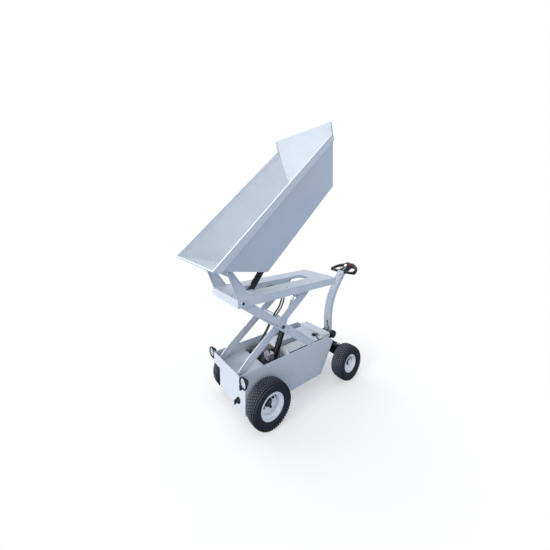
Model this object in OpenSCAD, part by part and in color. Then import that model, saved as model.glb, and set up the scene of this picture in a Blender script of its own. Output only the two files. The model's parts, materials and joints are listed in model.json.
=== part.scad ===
// Electric dump cart: battery powered walk-behind cart with a scissor lift and a tipping bucket.
// Millimetres. +X points to the dumping end, +Y to the left, +Z up, ground at z = 0.
// Stations along the cart are measured from the front axle line and moved by "shift" at the end.

/* [Front wheels] */
// Outer diameter of a front tyre
front_tyre_d = 409; // [380:1:430]
// Width of a front tyre
front_tyre_w = 142; // [136:1:155]
// Diameter over a front rim's flanges
front_rim_d = 244; // [220:1:250]
// Distance from the centre plane to the outer face of a front tyre
front_wheel_out = 391; // [391:1:400]

/* [Rear wheels] */
// Outer diameter of a rear tyre
rear_tyre_d = 377; // [350:1:390]
// Width of a rear tyre
rear_tyre_w = 138; // [130:1:150]
// Diameter over a rear rim's flanges
rear_rim_d = 198; // [175:1:204]
// Distance from the centre plane to the outer face of a rear tyre
rear_wheel_out = 398; // [396:1:410]
// Distance between the front and rear axle lines
wheelbase = 1073; // [1065:1:1090]

/* [Hubs] */
// Diameter of the front wheel shafts
drive_shaft_d = 32; // [25:1:36]
// Diameter of the rear stub axles
stub_d = 25; // [20:1:28]
// Set back of a front shaft's end from the tyre's outer face
shaft_back = 72; // [66:1:80]
// Set back of a rear stub's end from the tyre's outer face
stub_back = 60; // [54:1:70]
// Offset of a front rim's disc from the tyre's middle, outwards
front_disc = -20; // [-26:1:-10]
// Offset of a rear rim's disc from the tyre's middle, outwards
rear_disc = 0; // [-8:1:8]

/* [Chassis tub] */
// Width over the tub's side panels
tub_w = 473; // [465:1:480]
// Front face of the upper front band
tub_front = 247; // [240:1:255]
// Front face of the recessed lower front panel
tub_low_front = 188; // [180:1:195]
// Rear face of the tub
tub_rear = 947; // [935:1:955]
// Top edge of the side panels
tub_top = 499; // [490:1:506]
// Lower edge of the upper front band
band_bottom = 395; // [385:1:400]
// Underside of the tub
tub_bottom = 119; // [110:1:130]
// Rear end of the tub's underside
tub_bottom_rear = 760; // [740:1:780]
// Height where the sloped rear panel ends
rear_slope_top = 420; // [410:1:430]
// Sheet thickness of the tub
tub_sheet = 4; // [3:0.5:5]
// Height of the front deck's top
deck_top = 404; // [395:1:408]
// Rear end of the front deck
deck_rear = 100; // [80:1:130]
// Top of the battery cover
battery_cover_top = 466; // [455:1:468]
// Front edge of the battery cover
battery_cover_front = 358; // [345:1:370]
// Half width of the battery cover
battery_cover_half = 174; // [165:1:175]
// Top of the raised rear box
rear_box_top = 497; // [485:1:500]
// Half width of the slot in the battery cover that the lift cylinder lies in
cover_slot_half = 42; // [38:1:48]
// Rear end of the battery cover's slot
cover_slot_rear = 730; // [715:1:760]
// Front face of the raised rear box
rear_box_front = 860; // [850:1:880]
// Rear face of the raised rear box
rear_box_rear = 965; // [955:1:975]
// Half width of the raised rear box
rear_box_half = 181; // [170:1:181]
// Sheet thickness of the battery cover
cover_sheet = 3; // [2:0.5:4]
// Width of the tracks that the lower rollers run on
track_w = 60; // [50:1:60]
// Thickness of those tracks
track_t = 5; // [4:0.5:6]

/* [Power unit] */
// Length of the drive unit
drive_len = 180; // [160:1:190]
// Width of the drive unit
drive_w = 220; // [200:1:230]
// Top of the drive unit
drive_top = 320; // [300:1:330]
// Distance from the front axle line back to the pump's middle
pump_back = 165; // [160:1:175]
// Distance from the centre plane to the pump's middle
pump_y = 100; // [96:1:105]
// Diameter of the pump's motor
pump_d = 110; // [100:1:115]
// Top of the pump's motor
pump_top = 380; // [370:1:390]
// Length of the pump's head
pump_head_len = 114; // [108:1:120]
// Height of the pump's head
pump_head_h = 60; // [50:1:64]
// Width of the valve block
valve_w = 70; // [60:1:76]
// Height of the valve block
valve_h = 60; // [50:1:64]
// Distance from the front axle line back to the oil tank
tank_back = 150; // [140:1:160]
// Length of the oil tank
tank_len = 195; // [180:1:200]
// Width of the oil tank
tank_w = 165; // [150:1:175]
// Room between the oil tank and the right side panel
tank_room = 17; // [12:1:24]
// Top of the oil tank
tank_top = 425; // [400:1:430]
// Rear end of the batteries
battery_rear = 700; // [680:1:710]
// Height of the batteries
battery_h = 303; // [280:1:310]
// Room around the batteries
battery_room = 5; // [3:1:8]

/* [Scissor] */
// Distance between the end pins of a scissor arm
arm_len = 1094; // [1080:1:1110]
// Depth of a scissor arm
arm_depth = 80; // [70:1:84]
// Length over which a scissor arm narrows to its ends
arm_taper = 150; // [120:1:180]
// Half depth of a scissor arm's ends
arm_end_half = 24; // [22:1:26]
// Thickness of a scissor arm
arm_t = 12; // [10:1:14]
// Station of the fixed front pins
front_pin_x = 205; // [200:1:210]
// Height of the fixed lower pins
lower_pin_z = 457; // [452:1:460]
// Angle of the arms as the cart stands
lift_angle = 36.2; // [30:0.1:40]
// Distance from the centre plane to an inner arm's middle
inner_arm_y = 162.5; // [155:0.5:170]
// Distance from the centre plane to an outer arm's middle
outer_arm_y = 220; // [217:0.5:221]
// Diameter of the scissor pins
pin_d = 25; // [20:1:30]
// Diameter of the lower scissor rollers
roller_d = 58; // [52:1:58]
// Diameter of the scissor's cross tubes
cross_tube_d = 40; // [34:1:42]
// Distance from the crossing pin up to the tube below the inner arms' middle
mid_tube_up = 71; // [60:1:80]
// Drop of that tube's axis below the arms' centre line
mid_tube_drop = 35; // [30:1:36]
// Distance from the inner arms' upper pins down to the tube that carries the lift cylinder
lift_tube_in = 189; // [182:1:199]
// Distance from the outer arms' lower pins up to their cross bar
cross_bar_in = 59; // [54:1:64]

/* [Table] */
// Front end of the table
table_front = 251.5; // [245:0.5:260]
// Rear end of the table
table_rear = 980; // [970:1:990]
// Width of the table
table_w = 481; // [476:1:486]
// Depth of the table's side members
table_h = 71; // [66:1:74]
// Height of the table's top above its front pins
table_pin_drop = 34.5; // [32:0.5:36]
// Sheet thickness of the table
table_sheet = 5; // [4:0.5:6]
// Half width of the long slot in the table's top
slot_half = 75; // [68:1:80]
// Rear end of the table's slot
slot_rear = 741; // [730:1:750]
// Front end of the table's slot
slot_front = 60; // [50:1:75]
// Depth of the slot's front side walls
slot_wall = 58; // [50:1:60]
// Depth of the slot's rear side walls
slot_wall_rear = 30; // [25:1:32]
// Station where the deeper side walls end
slot_wall_end = 575; // [560:1:590]

/* [Bucket] */
// Length of the rim from the lip to the rear wall
rim_len = 1665; // [1640:1:1680]
// Width over the rim flanges
bucket_w = 800; // [780:1:810]
// Depth of the bucket below the rim
bucket_h = 430; // [415:1:432]
// Distance from the lip to the floor's front edge, along the rim
slope_run = 322; // [315:1:330]
// Slope of the rear wall from the perpendicular
rear_rake = 28; // [25:0.5:30]
// Sheet thickness of the bucket
bucket_sheet = 4; // [3:0.5:5]
// Width of the rim flange's top
flange_top = 15; // [12:1:18]
// Drop of the rim flange's outer skin
flange_drop = 58; // [50:1:62]
// Half width of the bucket's floor
floor_half = 308; // [300:1:315]
// Height of the upright plate above the rear of the rim
rear_plate = 107; // [95:1:110]
// Angle of the bucket as the cart stands
tip_angle = 42.9; // [40:0.1:44]
// Station of the bucket's pivot pins
pivot_x = 308; // [304:1:312]
// Height of the pivot pins above the table
pivot_rise = 220; // [218:1:224]
// Distance from the centre plane to the inner face of a tip post
post_y = 213; // [208:1:216]
// Thickness of the tip posts
post_t = 10; // [8:1:12]
// Distance from the lip back to the pivot, along the rim
pivot_back = 108; // [104:1:112]
// Depth of the pivot below the rim
pivot_deep = 215; // [213:1:217]

/* [Cylinders] */
// Outside diameter of the lift cylinder
lift_bore_d = 56; // [50:1:60]
// Diameter of the lift cylinder's rod
lift_rod_d = 32; // [28:1:36]
// Length of the lift cylinder's barrel from its eye
lift_barrel_len = 490; // [470:1:500]
// Outside diameter of the dump cylinder
dump_bore_d = 52; // [48:1:54]
// Diameter of the dump cylinder's rod
dump_rod_d = 32; // [28:1:36]
// Length of the dump cylinder's barrel from its eye
dump_barrel_len = 540; // [520:1:550]
// Diameter of the cylinders' eye pins
eye_pin_d = 20; // [18:1:22]
// Thickness of the lugs that hold the cylinders
lug_t = 8; // [6:1:10]
// Distance from the front axle line back to the lift cylinder's lower pin
lift_eye_back = 245; // [240:1:250]
// Height of the lift cylinder's lower pin
lift_eye_z = 195; // [190:1:200]
// Distance from the upper cross tube to the lift rod's pin, along the arms
lift_lug_out = 77; // [72:1:80]
// Drop of the lift rod's pin below the arms' centre line
lift_lug_drop = 20; // [18:1:22]
// Station of the dump cylinder's lower pin
dump_eye_x = 0; // [-5:1:5]
// Height of the dump cylinder's lower pin above the table's lower edge
dump_eye_up = 15; // [12:1:18]
// Distance from the bucket's pivot back to the dump rod's pin, along the floor
dump_lug_back = 946; // [940:1:950]
// Drop of the dump rod's pin below the bucket's floor
dump_lug_drop = 53; // [50:1:56]

/* [Steering] */
// Underside of the rear axle beam
beam_bottom = 222; // [215:1:230]
// Top of the rear axle beam
beam_top = 330; // [320:1:334]
// Width of the rear axle beam along the cart
beam_w = 80; // [70:1:85]
// Distance from the centre plane to a kingpin
kingpin_y = 221; // [215:1:222]
// Diameter of the kingpins
kingpin_d = 24; // [20:1:26]
// Length of the steering arms
steer_arm = 110; // [95:1:115]
// Diameter of the steering column
column_d = 50; // [45:1:54]
// Diameter of the pins in the tie rod
tie_pin_d = 12; // [10:1:14]
// Distance from the centre plane to a beam bracket's inner face
beam_bracket_in = 60; // [50:1:70]
// Distance from the centre plane to a beam bracket's outer face
beam_bracket_out = 130; // [120:1:140]
// Half width of the fork that holds the tiller
fork_half = 62; // [60:1:64]
// Thickness of the fork's cheeks and of its plate
fork_t = 10; // [8:1:12]

/* [Tiller] */
// Distance from the rear axle line back to the tiller's straight lower part
tiller_back = 77; // [73:1:83]
// Height of the tiller's tilt pivot
tilt_z = 382; // [378:1:386]
// Depth of the tiller's box section
tiller_t = 50; // [44:1:54]
// Diameter of the tilt hub
tilt_hub_d = 90; // [80:1:92]
// Width of the tiller's box section
tiller_w = 85; // [78:1:90]
// Height where the tiller starts to curve
tiller_bend_z = 560; // [540:1:580]
// Radius of the tiller's curve
tiller_bend_r = 620; // [600:1:640]
// Lean of the tiller's upper part
tiller_lean = 38; // [36:0.5:40]
// Length of the tiller's straight upper part
tiller_top_len = 200; // [190:1:210]
// Wall of the tiller's box section
tiller_wall = 4; // [3:0.5:5]
// Width over the handle's grips
handle_w = 350; // [330:1:370]
// Thickness of the handle's grips
grip_t = 34; // [26:1:38]
// Length of the handle from the tiller's end
handle_len = 209; // [195:1:215]
// Slope of the handle
handle_pitch = 20; // [8:1:24]
// Diameter of the red button, a bar across the handle
button_d = 42; // [38:1:48]
// Length of the red button
button_len = 66; // [60:1:76]

/* [Lamps] */
// Diameter of a work lamp
lamp_d = 100; // [90:1:105]
// Distance from the centre plane to a lamp's middle
lamp_y = 294; // [292:1:300]
// Height of the lamps
lamp_z = 470; // [465:1:478]
// Depth of a lamp's housing
lamp_deep = 40; // [36:1:50]
// Depth of the ring round a lamp's lens
lamp_ring = 13; // [12:1:16]
// Wall of a lamp's bezel
lamp_wall = 8; // [6:1:10]
// Recess of a lamp's lens
lens_recess = 9; // [8:1:12]
// Thickness of a lamp's lens
lens_t = 6; // [5:1:8]

/* [Switches] */
// Distance from the centre plane to the isolator key
key_y = 130; // [120:1:140]
// Height of the isolator key
key_z = 204; // [195:1:215]
// Diameter of the isolator key's base
key_base_d = 54; // [48:1:60]
// Station of the limit switch, back from the front axle line
switch_back = 800; // [780:1:820]
// Length and width of the limit switch
switch_len = 35; // [30:1:40]

/* [Hidden] */
$fn = 48;
run_gap = 0.3; // running clearance in pivots
front_r = front_tyre_d / 2;
rear_r = rear_tyre_d / 2;
half_in = tub_w / 2 - tub_sheet;
upper_pin_z = lower_pin_z + arm_len * sin(lift_angle);
slide_x = front_pin_x - arm_len * cos(lift_angle);
table_top = upper_pin_z + table_pin_drop;
table_bottom = table_top - table_h;
table_in = table_w / 2 - table_sheet;
pivot_z = table_top + pivot_rise;
upper_roller_d = 2 * (table_pin_drop - table_sheet - run_gap);
inner_in = inner_arm_y - arm_t / 2;
beam_x = -wheelbase;
tiller_x = wheelbase + tiller_back;
mid_tube_at = arm_len / 2 + mid_tube_up;
lift_tube_at = arm_len - lift_tube_in;
cross_bar_at = arm_len - cross_bar_in;
pin_gap = 1; // room beside an arm between its ears
ear_t = 6; // thickness of the ears of the fixed lower pins
// Ends of the two cylinders: [x, z] at their eyes, and the lugs that hold their rods.
lug_gap = 2; // room between a lug and the cylinder's barrel
lift_lug_in = lift_bore_d / 2 + lug_gap;
dump_lug_in = dump_bore_d / 2 + lug_gap;
lift_eye = [-lift_eye_back, lift_eye_z];
lift_lug = [-lift_tube_at - lift_lug_out, -lift_lug_drop]; // along the inner arms, from their lower pins
lift_top = [front_pin_x + lift_lug[0] * cos(lift_angle) + lift_lug[1] * sin(lift_angle),
            lower_pin_z - lift_lug[0] * sin(lift_angle) + lift_lug[1] * cos(lift_angle)];
dump_eye = [dump_eye_x, table_bottom + dump_eye_up];
floor_z = pivot_deep - bucket_h; // underside of the bucket floor, from the pivot
dump_lug = [-dump_lug_back, floor_z - dump_lug_drop]; // from the bucket's pivot
dump_top = [pivot_x + dump_lug[0] * cos(tip_angle) + dump_lug[1] * sin(tip_angle),
            pivot_z - dump_lug[0] * sin(tip_angle) + dump_lug[1] * cos(tip_angle)];
// Wheels: height of a rim's flange above its bead seat, and the bead's place as a share of the tyre's width.
flange_h = 12;
bead = 0.34;
well_h = 14; // depth of a rim's well, and where it starts and ends
well_half = 0.15;
well_end = 0.22;
rim_sheet = 5;
// The handle's rear end and the bucket's lip bound the cart along X.
handle_root = [-tiller_x - tiller_bend_r * (1 - cos(tiller_lean)) - tiller_top_len * sin(tiller_lean),
               tiller_bend_z + tiller_bend_r * sin(tiller_lean) + tiller_top_len * cos(tiller_lean)];
button_at = [-134, 27]; // the button's middle in the handle, from the tiller's end
lip_x = pivot_x + pivot_back * cos(tip_angle) + pivot_deep * sin(tip_angle);
handle_rear = handle_root[0] - handle_len * cos(handle_pitch) - grip_t / 2 * sin(handle_pitch);
shift = -(lip_x + handle_rear) / 2;

steel_grey = [0.78, 0.81, 0.85];
black_paint = [0.06, 0.06, 0.07];
rubber_black = [0.04, 0.04, 0.04];
rim_white = [0.93, 0.94, 0.96];
plated = [0.8, 0.8, 0.82];

// A flat outline of (x, z) points, thick from y0 to y0 + t.
module side_plate(points, y0, t) {
    translate([0, y0 + t, 0]) rotate([90, 0, 0]) linear_extrude(t) polygon(points);
}

// A round bar along Y from y0 to y1.
module bar_y(x, z, y0, y1, d) {
    translate([x, y0, z]) rotate([-90, 0, 0]) cylinder(h = y1 - y0, d = d);
}

// A box given by its low and high corners.
module block(low, high) {
    translate(low) cube(high - low);
}

// The children, and their mirror image across the centre plane.
module both_sides() {
    children();
    mirror([0, 1, 0]) children();
}

function reversed(list) = [for (i = [len(list) - 1:-1:0]) list[i]];

// A list of (radius, station) points and its mirror image, as one run of points.
function mirrored_ends(list) = concat(list, [for (q = reversed(list)) [q[0], -q[1]]]);

// ---- Chassis ----

tub_outline = [[tub_front, tub_top], [tub_front, band_bottom], [tub_low_front, band_bottom],
               [tub_low_front, tub_bottom], [-tub_bottom_rear, tub_bottom], [-tub_rear, rear_slope_top],
               [-tub_rear, rear_slope_top + 24], [-rear_box_front, tub_top]];
tub_hollow = [[tub_front - tub_sheet, tub_top + 1], [tub_front - tub_sheet, band_bottom + tub_sheet],
              [tub_low_front - tub_sheet, band_bottom + tub_sheet],
              [tub_low_front - tub_sheet, tub_bottom + tub_sheet],
              [-tub_bottom_rear + 2, tub_bottom + tub_sheet],
              [-tub_rear + tub_sheet, rear_slope_top + 1],
              [-tub_rear + tub_sheet, rear_slope_top + 24 + 40], [-rear_box_front, tub_top + 40]];

// Two flat side panels, with one sheet folded between them as front, floor and rear.
module chassis_tub() {
    color(steel_grey) translate([shift, 0, 0]) {
        both_sides() difference() {
            side_plate(tub_outline, half_in, tub_sheet);
            bar_y(0, front_r, half_in - 1, tub_w / 2 + 1, drive_shaft_d + 16);
        }
        difference() {
            side_plate(tub_outline, run_gap - half_in, 2 * (half_in - run_gap));
            side_plate(tub_hollow, -half_in, 2 * half_in);
        }
        cylinder_mount();
    }
}

// Flat tracks along the side panels, from the tub's rear to ahead of the rollers' place at rest.
module roller_tracks() {
    track_top = lower_pin_z - roller_d / 2 - run_gap;
    color(steel_grey) translate([shift, 0, 0]) both_sides()
        block([-tub_rear + tub_sheet + 18, half_in - track_w, track_top - track_t],
              [slide_x + 78, half_in - run_gap, track_top]);
}

module cylinder_mount() {
    difference() {
        both_sides() block([lift_eye[0] - 30, lift_lug_in, tub_bottom + tub_sheet],
                           [lift_eye[0] + 30, lift_lug_in + lug_t, lift_eye[1] + 22]);
        bar_y(lift_eye[0], lift_eye[1], -60, 60, eye_pin_d);
    }
    bar_y(lift_eye[0], lift_eye[1], -lift_lug_in - lug_t - 4, lift_lug_in + lug_t + 4, eye_pin_d);
}

module front_deck() {
    color(steel_grey) translate([shift, 0, 0]) {
        block([-deck_rear, -half_in, deck_top - tub_sheet], [tub_front - tub_sheet, half_in, deck_top]);
        // ears for the fixed lower pins
        both_sides() for (y = [inner_in - pin_gap - ear_t, inner_in + arm_t + pin_gap])
            difference() {
                block([front_pin_x - 26, y, deck_top], [front_pin_x + 30, y + ear_t, lower_pin_z + 20]);
                bar_y(front_pin_x, lower_pin_z, y - 1, y + ear_t + 1, pin_d + 2 * run_gap);
            }
    }
}

module battery_cover() {
    floor_top = tub_bottom + tub_sheet;
    under = battery_cover_top - cover_sheet;
    color(steel_grey) translate([shift, 0, 0]) {
        block([-rear_box_front, -battery_cover_half, under],
              [-cover_slot_rear, battery_cover_half, battery_cover_top]);
        both_sides() {
            block([-cover_slot_rear, cover_slot_half, under],
                  [-battery_cover_front, battery_cover_half, battery_cover_top]);
            // front and inner skirts
            block([-battery_cover_front - cover_sheet, cover_slot_half, floor_top],
                  [-battery_cover_front, battery_cover_half, under]);
            block([-cover_slot_rear, cover_slot_half, floor_top],
                  [-battery_cover_front, cover_slot_half + cover_sheet, under]);
        }
        // raised rear box
        difference() {
            block([-rear_box_rear, -rear_box_half, rear_slope_top + 30],
                  [-rear_box_front, rear_box_half, rear_box_top]);
            block([-rear_box_rear + cover_sheet, -rear_box_half + cover_sheet, rear_slope_top + 29],
                  [-rear_box_front - cover_sheet, rear_box_half - cover_sheet, rear_box_top - cover_sheet]);
        }
    }
}

module battery_block() {
    floor_top = tub_bottom + tub_sheet;
    near = cover_slot_half + cover_sheet + battery_room;
    color([0.2, 0.2, 0.22]) translate([shift, 0, 0])
        both_sides() block([-battery_rear, near, floor_top],
                           [-battery_cover_front - cover_sheet - battery_room,
                            battery_cover_half - battery_room, floor_top + battery_h]);
}

module drive_unit() {
    color(black_paint) translate([shift, 0, 0]) {
        block([-drive_len / 2, -drive_w / 2, tub_bottom + tub_sheet],
              [drive_len / 2, drive_w / 2, drive_top]);
        both_sides() bar_y(0, front_r, drive_w / 2, front_wheel_out - shaft_back, drive_shaft_d);
    }
}

module pump_motor() {
    floor_top = tub_bottom + tub_sheet;
    color(black_paint) translate([shift - pump_back, pump_y, 0]) {
        translate([0, 0, floor_top]) cylinder(h = pump_top - floor_top, d = pump_d);
        block([-pump_head_len / 2, -pump_d / 2, pump_top],
              [pump_head_len / 2, pump_d / 2, pump_top + pump_head_h]);
    }
}

module valve_block() {
    foot = pump_top + pump_head_h + run_gap;
    color([0.55, 0.56, 0.58]) translate([shift - pump_back, pump_y, foot])
        block([-valve_w / 2, -valve_w / 2, 0], [valve_w / 2, valve_w / 2, valve_h]);
}

module oil_tank() {
    right = half_in - tank_room;
    color([0.2, 0.21, 0.22]) translate([shift, 0, 0])
        block([-tank_back - tank_len, -right, tub_bottom + tub_sheet],
              [-tank_back, -right + tank_w, tank_top]);
}

module lamp_housings() {
    foot = 24;
    color(black_paint) translate([shift + tub_front, 0, lamp_z]) both_sides() {
        difference() {
            union() {
                translate([-lamp_ring, lamp_y, 0]) rotate([0, 90, 0]) cylinder(h = lamp_ring, d = lamp_d);
                translate([-lamp_deep, lamp_y, 0]) rotate([0, 90, 0])
                    cylinder(h = lamp_deep - lamp_ring, d1 = lamp_d / 2, d2 = lamp_d - lamp_wall);
            }
            translate([-lens_recess, lamp_y, 0]) rotate([0, 90, 0])
                cylinder(h = lens_recess + 1, d = lamp_d - 2 * lamp_wall);
        }
        block([-lamp_deep + 10, tub_w / 2, -foot / 2], [-lamp_ring, lamp_y - lamp_d / 4, foot / 2]);
    }
}

module lamp_lenses() {
    color([0.9, 0.93, 0.97, 0.6]) translate([shift + tub_front - lens_recess, 0, lamp_z]) both_sides()
        translate([0, lamp_y, 0]) rotate([0, 90, 0]) cylinder(h = lens_t, d = lamp_d - 2 * lamp_wall);
}

module isolator_key() {
    knob_d = 26;
    grip = [18, 10, 42];
    color(black_paint) translate([shift + tub_low_front, key_y, key_z]) {
        rotate([0, 90, 0]) cylinder(h = 14, d = key_base_d);
        rotate([0, 90, 0]) cylinder(h = 30, d = knob_d);
        translate([28, -grip[1] / 2, -grip[2] / 2]) cube(grip);
    }
}

module limit_switch() {
    color(black_paint) translate([shift - switch_back - switch_len, 60, battery_cover_top + run_gap])
        cube([switch_len, switch_len, 20]);
}

// ---- Wheels ----

// A tyre as a revolved section: tread, rounded shoulders, sidewalls and beads.
module tyre(d, w, rim_d, out) {
    r = d / 2;
    f = rim_d / 2;
    translate([0, out - w / 2, r]) rotate([-90, 0, 0]) rotate_extrude($fn = 96)
        polygon(mirrored_ends([[f - flange_h, bead * w], [f + 2, bead * w], [f + 10, 0.44 * w],
                               [r * 0.79, 0.5 * w], [r * 0.86, 0.487 * w], [r * 0.92, 0.437 * w],
                               [r * 0.965, 0.34 * w], [r * 0.99, 0.22 * w], [r, 0.1 * w]]));
}

// A deep dished steel rim with its hub.
module rim(d, w, rim_d, out, shaft, disc) {
    f = rim_d / 2;
    b = f - flange_h - run_gap;
    s = bead * w + run_gap;
    t = rim_sheet;
    well = b - well_h;
    outside = [[f, s + t], [f, s], [b, s], [b, well_end * w], [well, well_half * w]];
    inside = [[b - t, s + t], [b - t, well_end * w + 1], [well - t, well_half * w + 1]];
    translate([0, out - w / 2, d / 2]) rotate([-90, 0, 0]) rotate_extrude($fn = 96) {
        polygon(concat(mirrored_ends(outside), reversed(mirrored_ends(inside))));
        polygon([[shaft, disc], [0.52 * b, disc], [0.6 * b, disc + 8], [well - 2, disc + 12],
                 [well - 2, disc + 12 + t], [0.58 * b, disc + 8 + t], [0.5 * b, disc + t],
                 [shaft, disc + t]]);
    }
}

module front_wheel_parts(side, part) {
    bore = drive_shaft_d / 2 + run_gap;
    translate([shift, 0, 0]) mirror([0, side > 0 ? 0 : 1, 0])
        if (part == "tyre") color(rubber_black)
            tyre(front_tyre_d, front_tyre_w, front_rim_d, front_wheel_out);
        else color(rim_white)
            rim(front_tyre_d, front_tyre_w, front_rim_d, front_wheel_out, bore, front_disc);
}

module rear_wheel_parts(side, part) {
    bore = stub_d / 2 + run_gap;
    translate([shift + beam_x, 0, 0]) mirror([0, side > 0 ? 0 : 1, 0])
        if (part == "tyre") color(rubber_black)
            tyre(rear_tyre_d, rear_tyre_w, rear_rim_d, rear_wheel_out);
        else color(rim_white) rim(rear_tyre_d, rear_tyre_w, rear_rim_d, rear_wheel_out, bore, rear_disc);
}

module front_tyre_left() { front_wheel_parts(1, "tyre"); }
module front_rim_left() { front_wheel_parts(1, "rim"); }
module front_tyre_right() { front_wheel_parts(-1, "tyre"); }
module front_rim_right() { front_wheel_parts(-1, "rim"); }
module rear_tyre_left() { rear_wheel_parts(1, "tyre"); }
module rear_rim_left() { rear_wheel_parts(1, "rim"); }
module rear_tyre_right() { rear_wheel_parts(-1, "tyre"); }
module rear_rim_right() { rear_wheel_parts(-1, "rim"); }

// ---- Steering ----

module axle_beam() {
    color(black_paint) translate([shift + beam_x, 0, 0]) difference() {
        union() {
            block([-beam_w / 2, -kingpin_y, beam_bottom], [beam_w / 2, kingpin_y, beam_top]);
            both_sides() translate([0, kingpin_y, beam_bottom]) cylinder(h = beam_top - beam_bottom, d = 44);
            // brackets that carry the beam on the tub's rear panel
            both_sides() block([beam_w / 2 - 1, beam_bracket_in, beam_bottom + 20],
                               [wheelbase - tub_bottom_rear, beam_bracket_out, beam_top - 10]);
        }
        both_sides() translate([0, kingpin_y, 0]) cylinder(h = 2 * beam_top, d = kingpin_d + 2 * run_gap);
        cylinder(h = 2 * beam_top, d = column_d + 2 * run_gap);
        // the tub's sloped rear panel bounds the brackets
        translate([-beam_x, 0, 0]) side_plate(tub_outline, -tub_w / 2, tub_w);
    }
}

module knuckle(side) {
    color(black_paint) translate([shift + beam_x, 0, 0]) mirror([0, side > 0 ? 0 : 1, 0]) {
        translate([0, kingpin_y, rear_r - 20]) cylinder(h = beam_top + 14 - rear_r + 20, d = kingpin_d);
        translate([0, kingpin_y, beam_top + 2]) cylinder(h = 10, d = 40);
        block([-22, kingpin_y - 24, rear_r - 22], [22, kingpin_y + 24, beam_bottom - 2]);
        bar_y(0, rear_r, kingpin_y + 20, rear_wheel_out - stub_back, stub_d);
        difference() {
            block([-steer_arm - 14, kingpin_y - 14, rear_r - 4], [-20, kingpin_y + 14, rear_r + 8]);
            translate([-steer_arm, kingpin_y, 0]) cylinder(h = beam_top, d = tie_pin_d + 2 * run_gap);
        }
    }
}

module knuckle_left() { knuckle(1); }
module knuckle_right() { knuckle(-1); }

module tie_rod() {
    color(black_paint) translate([shift + beam_x - steer_arm, 0, 0]) {
        block([-12, -kingpin_y - 16, rear_r - 20], [12, kingpin_y + 16, rear_r - 6]);
        for (y = [-kingpin_y, 0, kingpin_y]) translate([0, y, rear_r - 8]) cylinder(h = 20, d = tie_pin_d);
    }
}

module steering_column() {
    color(black_paint) translate([shift + beam_x, 0, 0]) {
        translate([0, 0, rear_r - 4]) cylinder(h = beam_top + 20 - rear_r, d = column_d);
        // arm that moves the tie rod
        difference() {
            block([-steer_arm - 14, -14, rear_r - 4], [0, 14, rear_r + 8]);
            translate([-steer_arm, 0, 0]) cylinder(h = beam_top, d = tie_pin_d + 2 * run_gap);
        }
        // fork that holds the tiller's tilt pivot
        difference() {
            union() {
                block([-34, -fork_half, beam_top + 3], [30, fork_half, beam_top + 15]);
                both_sides() block([-tiller_back - 28, fork_half - fork_t, beam_top + 3],
                                   [0, fork_half, tilt_z + 26]);
            }
            bar_y(-tiller_back, tilt_z, -80, 80, eye_pin_d + 2 * run_gap);
        }
    }
}

// Outline of the tiller in the (x, z) plane, t thick, its straight foot at x = 0.
function tiller_side(at) = concat(
    [[at, tilt_z - 22]],
    [for (a = [0:2:tiller_lean]) [-tiller_bend_r + (tiller_bend_r + at) * cos(a),
                                  tiller_bend_z + (tiller_bend_r + at) * sin(a)]],
    [[-tiller_bend_r + (tiller_bend_r + at) * cos(tiller_lean) - tiller_top_len * sin(tiller_lean),
      tiller_bend_z + (tiller_bend_r + at) * sin(tiller_lean) + tiller_top_len * cos(tiller_lean)]]);

module tiller_arm() {
    color(steel_grey) translate([shift - tiller_x, 0, 0]) difference() {
        side_plate(concat(tiller_side(tiller_t / 2), reversed(tiller_side(-tiller_t / 2))),
                   -tiller_w / 2, tiller_w);
        side_plate(concat(tiller_side(tiller_t / 2 - tiller_wall),
                          reversed(tiller_side(-tiller_t / 2 + tiller_wall))),
                   -tiller_w / 2 + tiller_wall, tiller_w - 2 * tiller_wall);
        bar_y(0, tilt_z, -80, 80, eye_pin_d);
    }
}

module tilt_hub() {
    color(black_paint) translate([shift - tiller_x, 0, 0]) {
        bar_y(0, tilt_z, -fork_half - 2, fork_half + 4, eye_pin_d);
        bar_y(0, tilt_z, fork_half + 3, fork_half + 28, tilt_hub_d);
    }
}

// Places children that are drawn in the handle's plane, the tiller's end at the origin.
module in_handle() {
    translate([shift + handle_root[0], 0, handle_root[1]]) rotate([0, handle_pitch, 0]) children();
}

module handle_head() {
    color(black_paint) difference() {
        in_handle() {
            pod_top = 22;
            console_top = button_at[1] + button_d / 2 + 4;
            difference() {
                linear_extrude(grip_t, center = true)
                    polygon([[20, -40], [8, -140], [-20, -handle_w / 2], [-70, -handle_w / 2],
                             [-135, -140], [-handle_len, -50], [-handle_len, 50], [-135, 140],
                             [-70, handle_w / 2], [-20, handle_w / 2], [8, 140], [20, 40]]);
                both_sides() translate([0, 0, -50]) linear_extrude(100)
                    polygon([[-12, 50], [-18, 132], [-32, 146], [-62, 144], [-108, 115], [-125, 50]]);
            }
            block([-handle_len + 20, -45, -30], [20, 45, pod_top]);
            // raised console that the button crosses
            side_plate([[-70, 0], [-70, pod_top], [-115, console_top], [-157, console_top],
                        [-167, console_top - 12], [-167, 0]], -24, 48);
        }
        in_handle() bar_y(button_at[0], button_at[1], -button_len / 2 - 1, button_len / 2 + 1,
                          button_d + 2 * run_gap);
        // socket of the tiller's end
        translate([shift - tiller_x, 0, 0])
            side_plate(concat(tiller_side(tiller_t / 2 + run_gap),
                              reversed(tiller_side(-tiller_t / 2 - run_gap))),
                       -tiller_w / 2 - run_gap, tiller_w + 2 * run_gap);
    }
}

module handle_button() {
    color([0.8, 0.06, 0.08]) in_handle()
        bar_y(button_at[0], button_at[1], -button_len / 2, button_len / 2, button_d);
}

// ---- Scissor ----

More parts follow.
